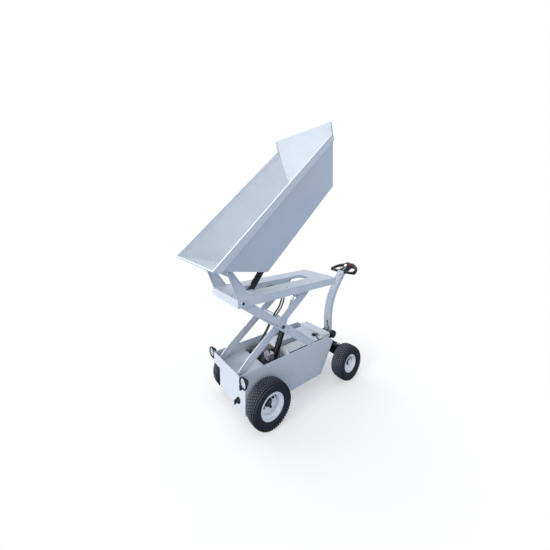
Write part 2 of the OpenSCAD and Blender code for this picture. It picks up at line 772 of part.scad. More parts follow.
// One arm, lying from a pin at the origin along -X, with boss ends.
module scissor_arm() {
    rotate([90, 0, 0]) linear_extrude(arm_t, center = true) difference() {
        union() {
            polygon([[0, -arm_depth / 2], [-arm_len + arm_taper, -arm_depth / 2], [-arm_len, -arm_end_half],
                     [-arm_len, arm_end_half], [-arm_len + arm_taper, arm_depth / 2],
                     [-arm_taper, arm_depth / 2], [0, arm_end_half], [12, 0], [12, -arm_depth / 2 + 12]]);
            circle(r = arm_end_half);
            translate([-arm_len, 0]) circle(r = arm_end_half);
        }
        circle(d = pin_d + 2 * run_gap);
        translate([-arm_len, 0]) circle(d = pin_d);
        translate([-arm_len / 2, 0]) circle(d = pin_d + 2 * run_gap);
    }
}

module inner_arms() {
    color(steel_grey) translate([shift, 0, 0]) both_sides()
        translate([front_pin_x, inner_arm_y, lower_pin_z]) rotate([0, lift_angle, 0]) scissor_arm();
}

module inner_cross_tubes() {
    color(steel_grey) translate([shift + front_pin_x, 0, lower_pin_z]) rotate([0, lift_angle, 0]) {
        both_sides() bar_y(0, 0, inner_arm_y - 22, inner_arm_y + 22, pin_d);
        // shaft that all four arms cross on
        bar_y(-arm_len / 2, 0, -outer_arm_y - 9, outer_arm_y + 9, pin_d);
        bar_y(-mid_tube_at, -mid_tube_drop, -inner_in, inner_in, cross_tube_d);
        bar_y(-lift_tube_at, 0, -inner_in, inner_in, cross_tube_d);
        // lugs that hold the lift cylinder's rod
        both_sides() {
            side_plate([[-lift_tube_at, 18], [-lift_tube_at, -18], [lift_lug[0] + 12, lift_lug[1] - 24],
                        [lift_lug[0] - 20, lift_lug[1] - 20], [lift_lug[0] - 20, lift_lug[1] + 20]],
                       lift_lug_in, lug_t);
            bar_y(lift_lug[0], lift_lug[1], lift_lug_in + lug_t - 1, lift_lug_in + lug_t + 6, 32);
        }
    }
}

module upper_rollers() {
    color([0.3, 0.3, 0.32]) translate([shift + slide_x, 0, upper_pin_z]) both_sides() {
        bar_y(0, 0, inner_arm_y - 10, inner_arm_y + 40, pin_d - 0.1);
        bar_y(0, 0, inner_arm_y + 12, inner_arm_y + 36, upper_roller_d);
    }
}

module outer_arms() {
    color(steel_grey) translate([shift, 0, 0]) both_sides()
        translate([front_pin_x, outer_arm_y, upper_pin_z]) rotate([0, -lift_angle, 0]) scissor_arm();
}

module outer_cross_bar() {
    // the arms' edge falls towards their ends, and the bar lies on it
    fall = (arm_depth / 2 - arm_end_half) / arm_taper;
    edge = [for (x = [cross_bar_at + 20, cross_bar_at - 20])
            [-x, arm_depth / 2 - fall * (x - arm_len + arm_taper) + run_gap]];
    color(steel_grey) translate([shift + front_pin_x, 0, upper_pin_z]) rotate([0, -lift_angle, 0])
        side_plate([edge[0], edge[1], edge[1] + [0, 14], edge[0] + [0, 14]],
                   -outer_arm_y - arm_t / 2, 2 * outer_arm_y + arm_t);
}

module lower_rollers() {
    color([0.3, 0.3, 0.32]) translate([shift + slide_x, 0, lower_pin_z]) both_sides() {
        bar_y(0, 0, outer_arm_y - 33, outer_arm_y + 7, pin_d - 0.1);
        bar_y(0, 0, outer_arm_y - 30, outer_arm_y - 12, roller_d);
    }
}

// ---- Table ----

module table_frame() {
    color(steel_grey) translate([shift, 0, table_top]) {
        both_sides() {
            difference() {
                block([-table_rear, table_in, -table_h], [table_front, table_w / 2, -table_sheet]);
                bar_y(front_pin_x, upper_pin_z - table_top, 0, 400, pin_d + 2 * run_gap);
            }
            bar_y(front_pin_x, upper_pin_z - table_top, outer_arm_y - 14, table_w / 2 + 6, pin_d);
            // ears that hold the dump cylinder, hung from a cross bar
            difference() {
                block([dump_eye[0] - 26, dump_lug_in, dump_eye[1] - table_top - 16],
                      [slot_front, dump_lug_in + lug_t, -8]);
                bar_y(dump_eye[0], dump_eye[1] - table_top, 0, 60, eye_pin_d);
            }
        }
        block([table_front - table_sheet, -table_in, -table_h], [table_front, table_in, -table_sheet]);
        block([-table_rear, -table_in, -table_h], [-table_rear + table_sheet, table_in, -table_sheet]);
        block([slot_front, -inner_in + 8, -table_h + 6], [slot_front + 8, inner_in - 8, -table_sheet]);
        bar_y(dump_eye[0], dump_eye[1] - table_top,
              -dump_lug_in - lug_t - 4, dump_lug_in + lug_t + 4, eye_pin_d);
    }
}

module table_plate() {
    color(steel_grey) translate([shift, 0, table_top]) {
        difference() {
            block([-table_rear, -table_w / 2, -table_sheet], [table_front, table_w / 2, 0]);
            block([-slot_rear, -slot_half, -table_h], [slot_front - 8, slot_half, 1]);
        }
        both_sides() {
            block([-slot_wall_end, slot_half, -slot_wall], [slot_front - 8, slot_half + 4, -table_sheet]);
            block([-slot_rear, slot_half, -slot_wall_rear], [-slot_wall_end, slot_half + 4, -table_sheet]);
        }
        block([-slot_rear - 4, -slot_half - 4, -slot_wall_rear], [-slot_rear, slot_half + 4, -table_sheet]);
    }
}

module tip_posts() {
    slope_dir = atan2(bucket_h, slope_run);
    boss = 26;
    edge = [pivot_x - boss * sin(slope_dir), pivot_rise + boss * cos(slope_dir)];
    color(steel_grey) translate([shift, 0, table_top]) both_sides() difference() {
        union() {
            side_plate([edge, [edge[0] - edge[1] / tan(slope_dir), 0],
                        [table_front - 1.5, 0], [pivot_x + boss, pivot_rise]], post_y, post_t);
            bar_y(pivot_x, pivot_rise, post_y, post_y + post_t, 2 * boss);
        }
        bar_y(pivot_x, pivot_rise, post_y - 1, post_y + post_t + 1, pin_d + 2 * run_gap);
    }
}

// ---- Bucket, drawn level with its pivot at the origin ----

lip = [pivot_back, pivot_deep];
rear_top_x = pivot_back - rim_len;
floor_rear_x = rear_top_x + bucket_h * tan(rear_rake);
plate_top = [rear_top_x - rear_plate * sin(rear_rake), pivot_deep + rear_plate * cos(rear_rake)];

// The hopper's solid form, grown outward by g.
module hopper(g, up) {
    top = pivot_deep + up;
    bottom = pivot_deep - bucket_h - g;
    rear_run = tan(rear_rake);
    slope = bucket_h / slope_run;
    gs = g / sin(atan(slope));
    gr = g / cos(rear_rake);
    intersection() {
        side_plate([[pivot_back + gs + up / slope, top], [pivot_back - slope_run + gs - g / slope, bottom],
                    [floor_rear_x - gr + g * rear_run, bottom], [rear_top_x - gr - up * rear_run, top]],
                   -bucket_w, 2 * bucket_w);
        rotate([90, 0, 90]) linear_extrude(4 * rim_len, center = true)
            polygon([[-bucket_w / 2 + flange_top - g, top], [-bucket_w / 2 + flange_top - g, pivot_deep - 65],
                     [-floor_half - g, bottom], [floor_half + g, bottom],
                     [bucket_w / 2 - flange_top + g, pivot_deep - 65], [bucket_w / 2 - flange_top + g, top]]);
    }
}

module in_bucket_frame() {
    color(steel_grey) translate([shift + pivot_x, 0, pivot_z]) rotate([0, tip_angle, 0]) children();
}

module bucket_shell() {
    in_bucket_frame() {
        difference() {
            hopper(0, 0);
            hopper(-bucket_sheet, 20);
        }
        // rim flanges along the sides
        both_sides() {
            block([rear_top_x, bucket_w / 2 - flange_top, pivot_deep - bucket_sheet],
                  [pivot_back, bucket_w / 2, pivot_deep]);
            side_plate([[pivot_back, pivot_deep], [pivot_back - 22, pivot_deep - flange_drop],
                        [rear_top_x + flange_drop * tan(rear_rake), pivot_deep - flange_drop],
                        [rear_top_x, pivot_deep]], bucket_w / 2 - bucket_sheet, bucket_sheet);
        }
        // folded lip
        block([pivot_back - 6, -bucket_w / 2, pivot_deep - 18], [pivot_back + 4, bucket_w / 2, pivot_deep]);
        // upright plate with side returns
        side_plate([[rear_top_x, pivot_deep - 1], plate_top, plate_top + [5, 0],
                    [rear_top_x + 5, pivot_deep - 1]], -bucket_w / 2, bucket_w);
        both_sides() side_plate([[rear_top_x, pivot_deep - 1], plate_top, plate_top + [22, 0],
                                 [rear_top_x + 22, pivot_deep - 1]], bucket_w / 2 - 5, 5);
    }
}

module bucket_brackets() {
    in_bucket_frame() both_sides() {
        difference() {
            union() {
                side_plate([[-26, -10], [0, -26], [26, -10], [70, 120], [70, 175], [-26, 50]],
                           post_y - 15, 10);
                bar_y(0, 0, post_y - 15, post_y - run_gap, 50);
            }
            hopper(0, 0);
        }
        bar_y(0, 0, post_y - 17, post_y + post_t + 5, pin_d);
        // cheeks that hold the dump cylinder's rod
        side_plate([[dump_lug[0] - 60, floor_z - run_gap], [dump_lug[0] - 22, dump_lug[1] - 10],
                    [dump_lug[0], dump_lug[1] - 22], [dump_lug[0] + 22, dump_lug[1] - 10],
                    [dump_lug[0] + 60, floor_z - run_gap]], dump_lug_in, lug_t);
        bar_y(dump_lug[0], dump_lug[1], dump_lug_in + lug_t - 1, dump_lug_in + lug_t + 6, 32);
    }
}

// ---- Cylinders ----

// Puts children, drawn along +Z from an eye, on the line from one (x, z) point to another.
module on_line(a, b) {
    translate([shift + a[0], 0, a[1]]) rotate([0, atan2(b[0] - a[0], b[1] - a[1]), 0]) children();
}

module barrel(d, len) {
    difference() {
        union() {
            translate([0, 0, 30]) cylinder(h = len - 30, d = d);
            bar_y(0, 0, -d / 2, d / 2, 40);
            block([-16, -d / 2, 0], [16, d / 2, 34]);
        }
        bar_y(0, 0, -d, d, eye_pin_d + 2 * run_gap);
        translate([0, 0, 60]) cylinder(h = len, d = d - 12);
    }
}

module rod(a, b, d, start, eye_w) {
    len = norm(b - a);
    translate([0, 0, start]) cylinder(h = len - start - 14, d = d);
    translate([0, 0, len]) bar_y(0, 0, -eye_w / 2, eye_w / 2, 44);
}

module lift_barrel() {
    color(black_paint) on_line(lift_eye, lift_top) barrel(lift_bore_d, lift_barrel_len);
}

module lift_rod() {
    color(plated) on_line(lift_eye, lift_top)
        rod(lift_eye, lift_top, lift_rod_d, lift_barrel_len - 90, 2 * (lift_lug_in - run_gap));
}

module dump_barrel() {
    color(black_paint) on_line(dump_eye, dump_top) barrel(dump_bore_d, dump_barrel_len);
}

module dump_rod() {
    color(plated) on_line(dump_eye, dump_top)
        rod(dump_eye, dump_top, dump_rod_d, dump_barrel_len - 90, 2 * (dump_lug_in - run_gap));
}

chassis_tub();
roller_tracks();
front_deck();
battery_cover();
battery_block();
drive_unit();
pump_motor();
valve_block();
oil_tank();
axle_beam();
lamp_housings();
lamp_lenses();
isolator_key();
limit_switch();
front_tyre_left();
front_rim_left();
front_tyre_right();
front_rim_right();
rear_tyre_left();
rear_rim_left();
rear_tyre_right();
rear_rim_right();
knuckle_left();
knuckle_right();
tie_rod();
steering_column();
tiller_arm();
tilt_hub();
handle_head();
handle_button();
inner_arms();
inner_cross_tubes();
upper_rollers();
outer_arms();
outer_cross_bar();
lower_rollers();
table_frame();
table_plate();
tip_posts();
bucket_shell();
bucket_brackets();
lift_barrel();
lift_rod();
dump_barrel();
dump_rod();
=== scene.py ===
"""Electric dump cart: the looks of a walk-behind scissor-lift tipping cart, built round its packed frame."""

import json
import math

import bmesh
import bpy
from bpy.props import FloatProperty, FloatVectorProperty, IntProperty, PointerProperty
from mathutils import Matrix, Vector


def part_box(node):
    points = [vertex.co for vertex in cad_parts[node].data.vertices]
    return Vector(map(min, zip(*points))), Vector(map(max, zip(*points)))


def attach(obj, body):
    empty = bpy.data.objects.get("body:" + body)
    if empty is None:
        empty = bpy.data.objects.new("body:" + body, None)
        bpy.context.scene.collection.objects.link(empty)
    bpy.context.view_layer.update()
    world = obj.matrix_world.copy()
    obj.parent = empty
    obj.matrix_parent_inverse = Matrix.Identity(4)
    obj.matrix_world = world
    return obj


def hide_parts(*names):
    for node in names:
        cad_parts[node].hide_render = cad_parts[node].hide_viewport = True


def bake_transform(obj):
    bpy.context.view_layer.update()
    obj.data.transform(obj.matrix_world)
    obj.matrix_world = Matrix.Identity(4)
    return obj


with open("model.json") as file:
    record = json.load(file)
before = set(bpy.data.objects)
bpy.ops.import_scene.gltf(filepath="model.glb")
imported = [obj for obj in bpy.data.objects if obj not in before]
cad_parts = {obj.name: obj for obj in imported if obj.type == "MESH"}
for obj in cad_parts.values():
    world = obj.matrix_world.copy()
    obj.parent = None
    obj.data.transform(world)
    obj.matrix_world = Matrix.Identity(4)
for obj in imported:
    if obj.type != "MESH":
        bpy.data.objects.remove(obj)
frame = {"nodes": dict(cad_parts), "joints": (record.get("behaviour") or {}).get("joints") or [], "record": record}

bl_info = {
    "name": "Electric dump cart",
    "version": (1, 0, 0),
    "blender": (4, 5, 0),
    "location": "View3D > Sidebar > Dump cart",
    "description": "Dresses a scissor-lift dump cart's frame with tyres, fasteners, controls and finishes",
    "category": "Object",
}

JOINTS = {j["name"]: j for j in frame["joints"]}
SIDES = (("left", 1), ("right", -1))
SIGNS = [sign for _, sign in SIDES]
FINISH = {}


# ---- Places, read from the frame ----

def pin(joint):
    """Where a joint's pin stands at rest."""
    return Vector(JOINTS[joint]["pos_m"])


def middle(node):
    """Middle of a node's box at rest."""
    low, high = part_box(node)
    return (low + high) / 2


AXLE = middle("front_rim_left").x     # station of the front axle
REAR = middle("rear_rim_left").x      # station of the rear axle
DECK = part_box("table_plate")[1].z     # the table's top
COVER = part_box("limit_switch")[0].z   # the battery cover's top


def at(x, y, z):
    """A point by its station from the front axle."""
    return Vector((AXLE + x, y, z))


def toward(direction, spot=(0, 0, 0)):
    """Stands a piece drawn along +Z on a point, pointing along a direction."""
    turn = Vector(direction).normalized().to_track_quat("Z", "Y").to_matrix().to_4x4()
    return Matrix.Translation(Vector(spot)) @ turn


def on_side(sign, x, y, z):
    """Stands a piece on the left or the right of the cart, y from its middle, pointing outwards."""
    return toward((0, sign, 0), (x, sign * y, z))


def turned(angle, spot):
    """Tips a piece drawn level round the Y axis, with its origin on a point."""
    return Matrix.Translation(Vector(spot)) @ Matrix.Rotation(angle, 4, "Y")


def round_axle(spot, sign, degrees):
    """A place on a wheel's face: +Z out along the axle, +X away from it, turned up from straight back."""
    turn = math.radians(degrees)
    out, away = Vector((0, sign, 0)), Vector((-math.cos(turn), 0, math.sin(turn)))
    return Matrix.Translation(spot) @ Matrix((away, out.cross(away), out)).transposed().to_4x4()


def ring_of(place, count, radius, height=0.0, first=0):
    """Even places on a ring round a place's own +Z, the first of them turned by some degrees."""
    return [place @ Matrix.Rotation(math.radians(360 * k / count + first), 4, "Z")
            @ Matrix.Translation((radius, 0, height)) for k in range(count)]


def along_barrel(name):
    """A cylinder's place: its origin on the lower eye and +Z up its barrel."""
    line = Vector(JOINTS[name + "_rod_slide"]["axis"])
    return turned(math.atan2(line.x, line.z), pin(name + "_cylinder_swing"))


TIP = math.radians(-min(JOINTS["dump"]["range_deg"]))
CROSS = pin("scissor_cross")
LOWER = pin("lift")
UPPER = pin("table_level")
ARM = math.atan2(CROSS.z - LOWER.z, LOWER.x - CROSS.x)
ALONG_INNER = turned(ARM, LOWER)      # -X runs up the inner arms from their lower pins
ALONG_OUTER = turned(-ARM, UPPER)     # -X runs down the outer arms from their upper pins
IN_BUCKET = turned(TIP, pin("dump"))  # the bucket drawn level, its pivot at the origin
PITCH = math.radians(20)
BUTTON = middle("handle_button")
CONSOLE = Vector((-0.134, 0, 0.027))  # the button's middle, with the handle drawn level
IN_HANDLE = turned(PITCH, BUTTON - Matrix.Rotation(PITCH, 3, "Y") @ CONSOLE)


# ---- Modelling steps ----

def clear_selection():
    """Leaves edit mode and deselects everything."""
    if bpy.context.object and bpy.context.object.mode != "OBJECT":
        bpy.ops.object.mode_set(mode="OBJECT")
    bpy.ops.object.select_all(action="DESELECT")


def only(obj):
    """Selects one piece and makes it active."""
    clear_selection()
    obj.select_set(True)
    bpy.context.view_layer.objects.active = obj


def open_new(name):
    """Names the primitive just added and opens its mesh."""
    obj = bpy.context.object
    obj.name = obj.data.name = name
    bpy.ops.object.transform_apply(location=True, rotation=True, scale=True)
    bpy.ops.object.mode_set(mode="EDIT")
    bpy.ops.mesh.select_mode(type="VERT")
    bpy.ops.mesh.select_all(action="SELECT")
    return obj


def pick(obj, kind, test):
    """Selects the faces, edges or vertices of the open mesh whose middle and normal pass a test."""
    bpy.ops.mesh.select_mode(type=kind)
    bpy.ops.mesh.select_all(action="DESELECT")
    mesh = bmesh.from_edit_mesh(obj.data)
    mesh.normal_update()
    if kind == "FACE":
        for face in mesh.faces:
            face.select_set(bool(test(face.calc_center_median(), face.normal)))
    elif kind == "EDGE":
        for edge in mesh.edges:
            a, b = edge.verts[0].co, edge.verts[1].co
            edge.select_set(bool(test((a + b) / 2, (b - a).normalized())))
    else:
        for vert in mesh.verts:
            vert.select_set(bool(test(vert.co, vert.normal)))
    mesh.select_flush_mode()
    bmesh.update_edit_mesh(obj.data)


def settle(obj, matrix=None):
    """Moves a piece to its place and puts that place into its mesh."""
    only(obj)
    if matrix is not None:
        obj.matrix_world = matrix @ obj.matrix_world
    bpy.ops.object.transform_apply(location=True, rotation=True, scale=True)
    if not obj.data.polygons:
        raise RuntimeError(obj.name + " has no faces")
    return obj


def trace(name, points, closed=False):
    """A line of edges through the points, drawn by extruding one vertex."""
    clear_selection()
    bpy.ops.mesh.primitive_plane_add(size=0.01)
    obj = open_new(name)
    bpy.ops.mesh.merge(type="CENTER")
    bpy.ops.transform.translate(value=Vector(points[0]))
    for a, b in zip(points, points[1:]):
        bpy.ops.mesh.extrude_region_move(TRANSFORM_OT_translate={"value": Vector(b) - Vector(a)})
    if closed:
        ends = (Vector(points[0]), Vector(points[-1]))
        pick(obj, "VERT", lambda co, no: min((co - e).length for e in ends) < 1e-6)
        bpy.ops.mesh.edge_face_add()
    bpy.ops.mesh.select_all(action="SELECT")
    return obj


def tidy_mesh():
    """Merges doubles in the open mesh and points its faces outwards."""
    bpy.ops.mesh.select_all(action="SELECT")
    bpy.ops.mesh.remove_doubles(threshold=1e-6)
    bpy.ops.mesh.normals_make_consistent(inside=False)


def lathe(name, outline, matrix=None, steps=40):
    """A turned piece: an outline of (radius, height) points, spun round +Z."""
    on_axis = outline[0][0] == 0 and outline[-1][0] == 0
    obj = trace(name, [(r, 0, h) for r, h in outline], closed=not on_axis)
    bpy.ops.mesh.spin(steps=steps, angle=2 * math.pi, center=(0, 0, 0), axis=(0, 0, 1))
    tidy_mesh()
    return settle(obj, matrix)


def plate(name, outline, near, far, matrix=None, edge=0.001, segments=2):
    """A flat piece: an outline of (x, z) points, from y = near to y = far, with softened edges."""
    obj = trace(name, [(x, near, z) for x, z in outline], closed=True)
    bpy.ops.mesh.edge_face_add()
    bpy.ops.mesh.extrude_region_move(TRANSFORM_OT_translate={"value": (0, far - near, 0)})
    tidy_mesh()
    if edge:
        bpy.ops.mesh.bevel(offset=edge, segments=segments, affect="EDGES", clamp_overlap=True)
        tidy_mesh()
    return settle(obj, matrix)


def block(name, low, high, edge=0.002, segments=2, matrix=None):
    """A rectangular piece between two corners, with softened edges."""
    clear_selection()
    low, high = Vector(low), Vector(high)
    bpy.ops.mesh.primitive_cube_add(size=1, location=(low + high) / 2, scale=high - low)
    obj = open_new(name)
    bpy.ops.mesh.bevel(offset=edge, segments=segments, affect="EDGES", clamp_overlap=True)
    return settle(obj, matrix)


def flowing(points, steps=6):
    """Points along a smooth line through the given points."""
    p = [Vector(q) for q in points]
    p = [2 * p[0] - p[1]] + p + [2 * p[-1] - p[-2]]
    line = []
    for a, b, c, d in zip(p, p[1:], p[2:], p[3:]):
        for k in range(steps):
            t = k / steps
            line.append(0.5 * (2 * b + (c - a) * t + (2 * a - 5 * b + 4 * c - d) * t ** 2
                               + (3 * b - a - 3 * c + d) * t ** 3))
    return line + [p[-2]]


def sweep(name, points, radius, radii=None, detail=3):
    """A round piece along a line of points, with a factor on its radius at each."""
    clear_selection()
    curve = bpy.data.curves.new(name, "CURVE")
    curve.dimensions = "3D"
    curve.bevel_depth = radius
    curve.bevel_resolution = detail
    curve.use_fill_caps = True
    spline = curve.splines.new("POLY")
    spline.points.add(len(points) - 1)
    for k, q in enumerate(points):
        spline.points[k].co = (*q, 1)
        spline.points[k].radius = radii[k] if radii else 1
    obj = bpy.data.objects.new(name, curve)
    bpy.context.scene.collection.objects.link(obj)
    only(obj)
    bpy.ops.object.convert(target="MESH")
    obj = bpy.context.object
    bpy.ops.object.mode_set(mode="EDIT")
    tidy_mesh()
    clear_selection()
    return obj


def join(name, pieces):
    """Makes one piece of several."""
    clear_selection()
    for piece in pieces:
        piece.select_set(True)
    bpy.context.view_layer.objects.active = pieces[0]
    if len(pieces) > 1:
        bpy.ops.object.join()
    obj = bpy.context.object
    obj.name = obj.data.name = name
    return obj


def copies(obj, places):
    """Copies a piece drawn at the origin to each place, and takes the first one away."""
    made = []
    for place in places:
        only(obj)
        bpy.ops.object.duplicate()
        made.append(settle(bpy.context.object, place))
    bpy.data.objects.remove(obj)
    return made


def painted(obj, finish):
    """Gives a piece one finish."""
    obj.data.materials.clear()
    obj.data.materials.append(FINISH[finish])
    return obj


def dress(obj, body, finish, angle=32):
    """Smooths a finished piece, gives it its finish and makes it ride on its body."""
    only(obj)
    bpy.ops.object.shade_smooth_by_angle(angle=math.radians(angle))
    painted(obj, finish)
    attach(obj, body)
    return obj


def use(obj, kind, **settings):
    """Adds a modifier with its settings and applies it."""
    only(obj)
    modifier = obj.modifiers.new(kind.title(), kind)
    for key, value in settings.items():
        setattr(modifier, key, value)
    bpy.ops.object.modifier_apply(modifier=modifier.name)
    return obj


# ---- Fasteners and small parts that are modelled once and copied ----

def hex_bolt(name, across, height):
    """A hexagon head with a chamfered top, on its washer, standing on the origin."""
    clear_selection()
    bpy.ops.mesh.primitive_cylinder_add(vertices=6, radius=across / math.sqrt(3), depth=height,
                                        location=(0, 0, 0.0015 + height / 2))
    obj = open_new(name)
    pick(obj, "FACE", lambda co, no: no.z > 0.9)
    bpy.ops.mesh.inset(thickness=across * 0.09)
    bpy.ops.transform.translate(value=(0, 0, across * 0.05))
    settle(obj)
    washer = lathe(name + "_washer", [(across * 0.2, 0), (across * 0.78, 0), (across * 0.78, 0.0012),
                                      (across * 0.74, 0.0016), (across * 0.2, 0.0016)], steps=24)
    return join(name, [obj, washer])


def socket_screw(name, size, height):
    """A round head with a six-sided socket, standing on the origin."""
    clear_selection()
    bpy.ops.mesh.primitive_cylinder_add(vertices=24, radius=size / 2, depth=height,
                                        location=(0, 0, height / 2))
    obj = open_new(name)
    pick(obj, "FACE", lambda co, no: no.z > 0.9)
    bpy.ops.mesh.inset(thickness=size * 0.06)
    bpy.ops.transform.translate(value=(0, 0, height * 0.08))
    bpy.ops.mesh.inset(thickness=size * 0.16)
    bpy.ops.mesh.extrude_region_move(TRANSFORM_OT_translate={"value": (0, 0, -height * 0.6)})
    return settle(obj)


def pin_head(name, radius, height, place):
    """The end of a pin: a chamfered disc with a keeper ring, a centre dimple and a grease nipple."""
    disc = lathe(name, [(0, 0), (radius, 0), (radius, height * 0.55), (radius * 0.92, height * 0.72),
                        (radius * 0.62, height * 0.72), (radius * 0.6, height * 0.6),
                        (radius * 0.34, height * 0.6), (radius * 0.3, height * 0.45), (0, height * 0.45)],
                 steps=32)
    nipple = lathe(name + "_nipple", [(0, height * 0.4), (0.003, height * 0.4), (0.003, height * 0.7),
                                      (0.0016, height * 0.74), (0.0016, height * 0.84),
                                      (0.0022, height * 0.9), (0.001, height), (0, height)], steps=12)
    return settle(join(name, [disc, nipple]), place)


def weld_line(name, points, radius=0.0026):
    """A rippled weld bead along a line of points."""
    line = []
    for a, b in zip(points, points[1:]):
        a, b = Vector(a), Vector(b)
        count = max(2, int((b - a).length / 0.005))
        line += [a + (b - a) * k / count for k in range(count)]
    line.append(Vector(points[-1]))
    return sweep(name, line, radius, [1 if k % 2 else 0.8 for k in range(len(line))], detail=2)


def ring_weld(name, radius, place, thickness=0.0028):
    """A weld bead round a tube."""
    points = [(radius * math.cos(a), radius * math.sin(a), 0)
              for a in [2 * math.pi * k / 40 for k in range(41)]]
    return settle(weld_line(name, points, thickness), place)


# ---- Finishes ----

class Graph:
    """A tree of shader nodes, with short ways to add nodes and join them."""

    def __init__(self, owner):
        owner.use_nodes = True
        self.nodes, self.links = owner.node_tree.nodes, owner.node_tree.links

    def feed(self, socket, source):
        """Links a source into a socket, or sets the socket to a plain value."""
        if isinstance(source, bpy.types.NodeSocket):
            self.links.new(source, socket)
        elif socket.type == "RGBA":
            socket.default_value = (*source, 1)
        else:
            socket.default_value = source

    def add(self, kind, inputs=None, **settings):
        """Adds a node with its settings, and feeds its inputs by name or number."""
        node = self.nodes.new("ShaderNode" + kind)
        for key, value in settings.items():
            setattr(node, key, value)
        for key, source in (inputs or {}).items():
            self.feed(node.inputs[key], source)
        return node

    def maths(self, operation, a, b):
        """One number from two."""
        return self.add("Math", {0: a, 1: b}, operation=operation).outputs["Value"]

    def blend(self, amount, first, second, output):
        """Runs two shaders, mixed by an amount, into the output node."""
        mix = self.add("MixShader", {"Fac": amount, 1: first, 2: second})
        self.feed(self.nodes[output].inputs["Surface"], mix.outputs["Shader"])


class Finish(Graph):
    """A material with its shader, and patterns drawn from the object's own coordinates."""

    def __init__(self, name, colour, rough, **more):
        made = bpy.data.materials.new(name)
        super().__init__(made)
        FINISH[name] = self.material = made
        self.shader = self.nodes["Principled BSDF"]
        self.give(Base_Color=colour, Roughness=rough, **more)
        self.place = self.add("TexCoord").outputs["Object"]

    def give(self, **inputs):
        """Feeds the shader's inputs, named with _ for a space."""
        for key, source in inputs.items():
            self.feed(self.shader.inputs[key.replace("_", " ")], source)

    def noise(self, scale, detail=3.0, stretch=(1, 1, 1), rough=0.5):
        """A noise pattern in metres, stretched along an axis where a factor is below 1."""
        mapping = self.add("Mapping", {"Vector": self.place, "Scale": stretch})
        return self.add("TexNoise", {"Vector": mapping.outputs["Vector"], "Scale": scale, "Detail": detail,
                                     "Roughness": rough}).outputs["Fac"]

    def ramp(self, value, low, high, start, end):
        """Turns a pattern into a run of colours between two of its values."""
        node = self.add("ValToRGB", {"Fac": value})
        first, last = node.color_ramp.elements
        first.position, last.position = start, end
        first.color, last.color = (*low, 1), (*high, 1)
        return node.outputs["Color"]

    def grey(self, value, low, high, start, end):
        """Turns a pattern into a run of greys between two of its values."""
        return self.ramp(value, (low,) * 3, (high,) * 3, start, end)

    def mixed(self, amount, a, b):
        """Mixes two colours by a pattern."""
        return self.add("Mix", {"Factor": amount, 6: a, 7: b}, data_type="RGBA").outputs[2]

    def bumped(self, *heights):
        """Runs patterns into the shader's normal, each as (pattern, strength, height in metres)."""
        last = None
        for pattern, strength, height in heights:
            bump = self.add("Bump", {"Height": pattern, "Strength": strength, "Distance": height})
            if last:
                self.feed(bump.inputs["Normal"], last)
            last = bump.outputs["Normal"]
        self.give(Normal=last)


def shade(colour, factor):
    """A colour made lighter or darker."""
    return tuple(min(1.0, c * factor) for c in colour)


def powder_coat(name, colour, rough=0.42, peel=0.25, dust=0.35, gloss=0.5):
    """Sprayed and baked paint: cloudy tone, orange peel, fine scuffs, and road dust low down."""
    coat = Finish(name, colour, rough, Specular_IOR_Level=gloss)
    cloud = coat.noise(3.2, 4)
    tone = coat.ramp(cloud, shade(colour, 0.965), shade(colour, 1.025), 0.35, 0.65)
    scuff = coat.grey(coat.noise(55, 5, (1, 1, 0.06), 0.62), 0, 1, 0.66, 0.74)
    tone = coat.mixed(scuff, tone, shade(colour, 0.9))
    height = coat.add("SeparateXYZ", {"Vector": coat.place}).outputs["Z"]
    low = coat.add("MapRange", {"Value": height, "From Min": 0.45, "From Max": 0.10, "To Max": dust})
    spots = coat.grey(coat.noise(14, 6, rough=0.6), 0, 1, 0.45, 0.75)
    tone = coat.mixed(coat.maths("MULTIPLY", low.outputs["Result"], spots), tone, (0.42, 0.40, 0.37))
    coat.give(Base_Color=tone, Roughness=coat.grey(cloud, rough - 0.05, rough + 0.08, 0.3, 0.7))
    coat.bumped((coat.noise(420, 2), peel, 0.0003), (coat.noise(9, 2), 0.12, 0.0015))


def rubber(name, colour):
    """Tyre rubber: dull and dark, with a faint grain, and the tread blocks' tops painted paler, partly as road
    wear and partly as a painted highlight.
    """
    tyre = Finish(name, colour, 0.62, Specular_IOR_Level=0.35)
    grain = tyre.noise(60, 6, rough=0.65)
    tone = tyre.ramp(grain, shade(colour, 0.8), shade(colour, 1.3), 0.35, 0.7)
    wear_and_highlight = tyre.add("Attribute", attribute_name="wear_and_highlight").outputs["Fac"]
    # The blocks' tops are painted paler: partly road wear, partly a painted highlight where light falls on them.
    worn_and_lit_tops = tyre.maths("MULTIPLY", wear_and_highlight, tyre.grey(tyre.noise(24, 4), 0.7, 1, 0.3, 0.65))
    tyre.give(Base_Color=tyre.mixed(worn_and_lit_tops, tone, (0.085, 0.097, 0.120)),
              Roughness=tyre.grey(grain, 0.55, 0.75, 0.3, 0.7))
    tyre.bumped((tyre.noise(700, 3), 0.3, 0.0003))


def metal(name, colour, rough, lines):
    """Bare or plated metal: fine tool lines, slight stains and uneven gloss."""
    bare = Finish(name, colour, rough, Metallic=1.0)
    cut = bare.noise(160, 4, lines, 0.6)
    bare.give(Base_Color=bare.ramp(bare.noise(18, 5), shade(colour, 0.86), shade(colour, 1.05), 0.35, 0.65),
              Roughness=bare.grey(cut, rough * 0.8, min(1, rough * 1.5), 0.35, 0.65))
    bare.bumped((cut, 0.2, 0.0002))


def moulded(name, colour, rough, grain=900, strength=0.4, spread=0.12):
    """Moulded plastic or a painted casting: an even grain with slight sheen changes."""
    cast = Finish(name, colour, rough)
    cloud = cast.noise(12, 4)
    cast.give(Base_Color=cast.ramp(cloud, shade(colour, 1 - spread), shade(colour, 1 + spread), 0.35, 0.65),
              Roughness=cast.grey(cloud, rough * 0.9, min(1, rough * 1.15), 0.3, 0.7))
    cast.bumped((cast.noise(grain, 2), strength, 0.0004))


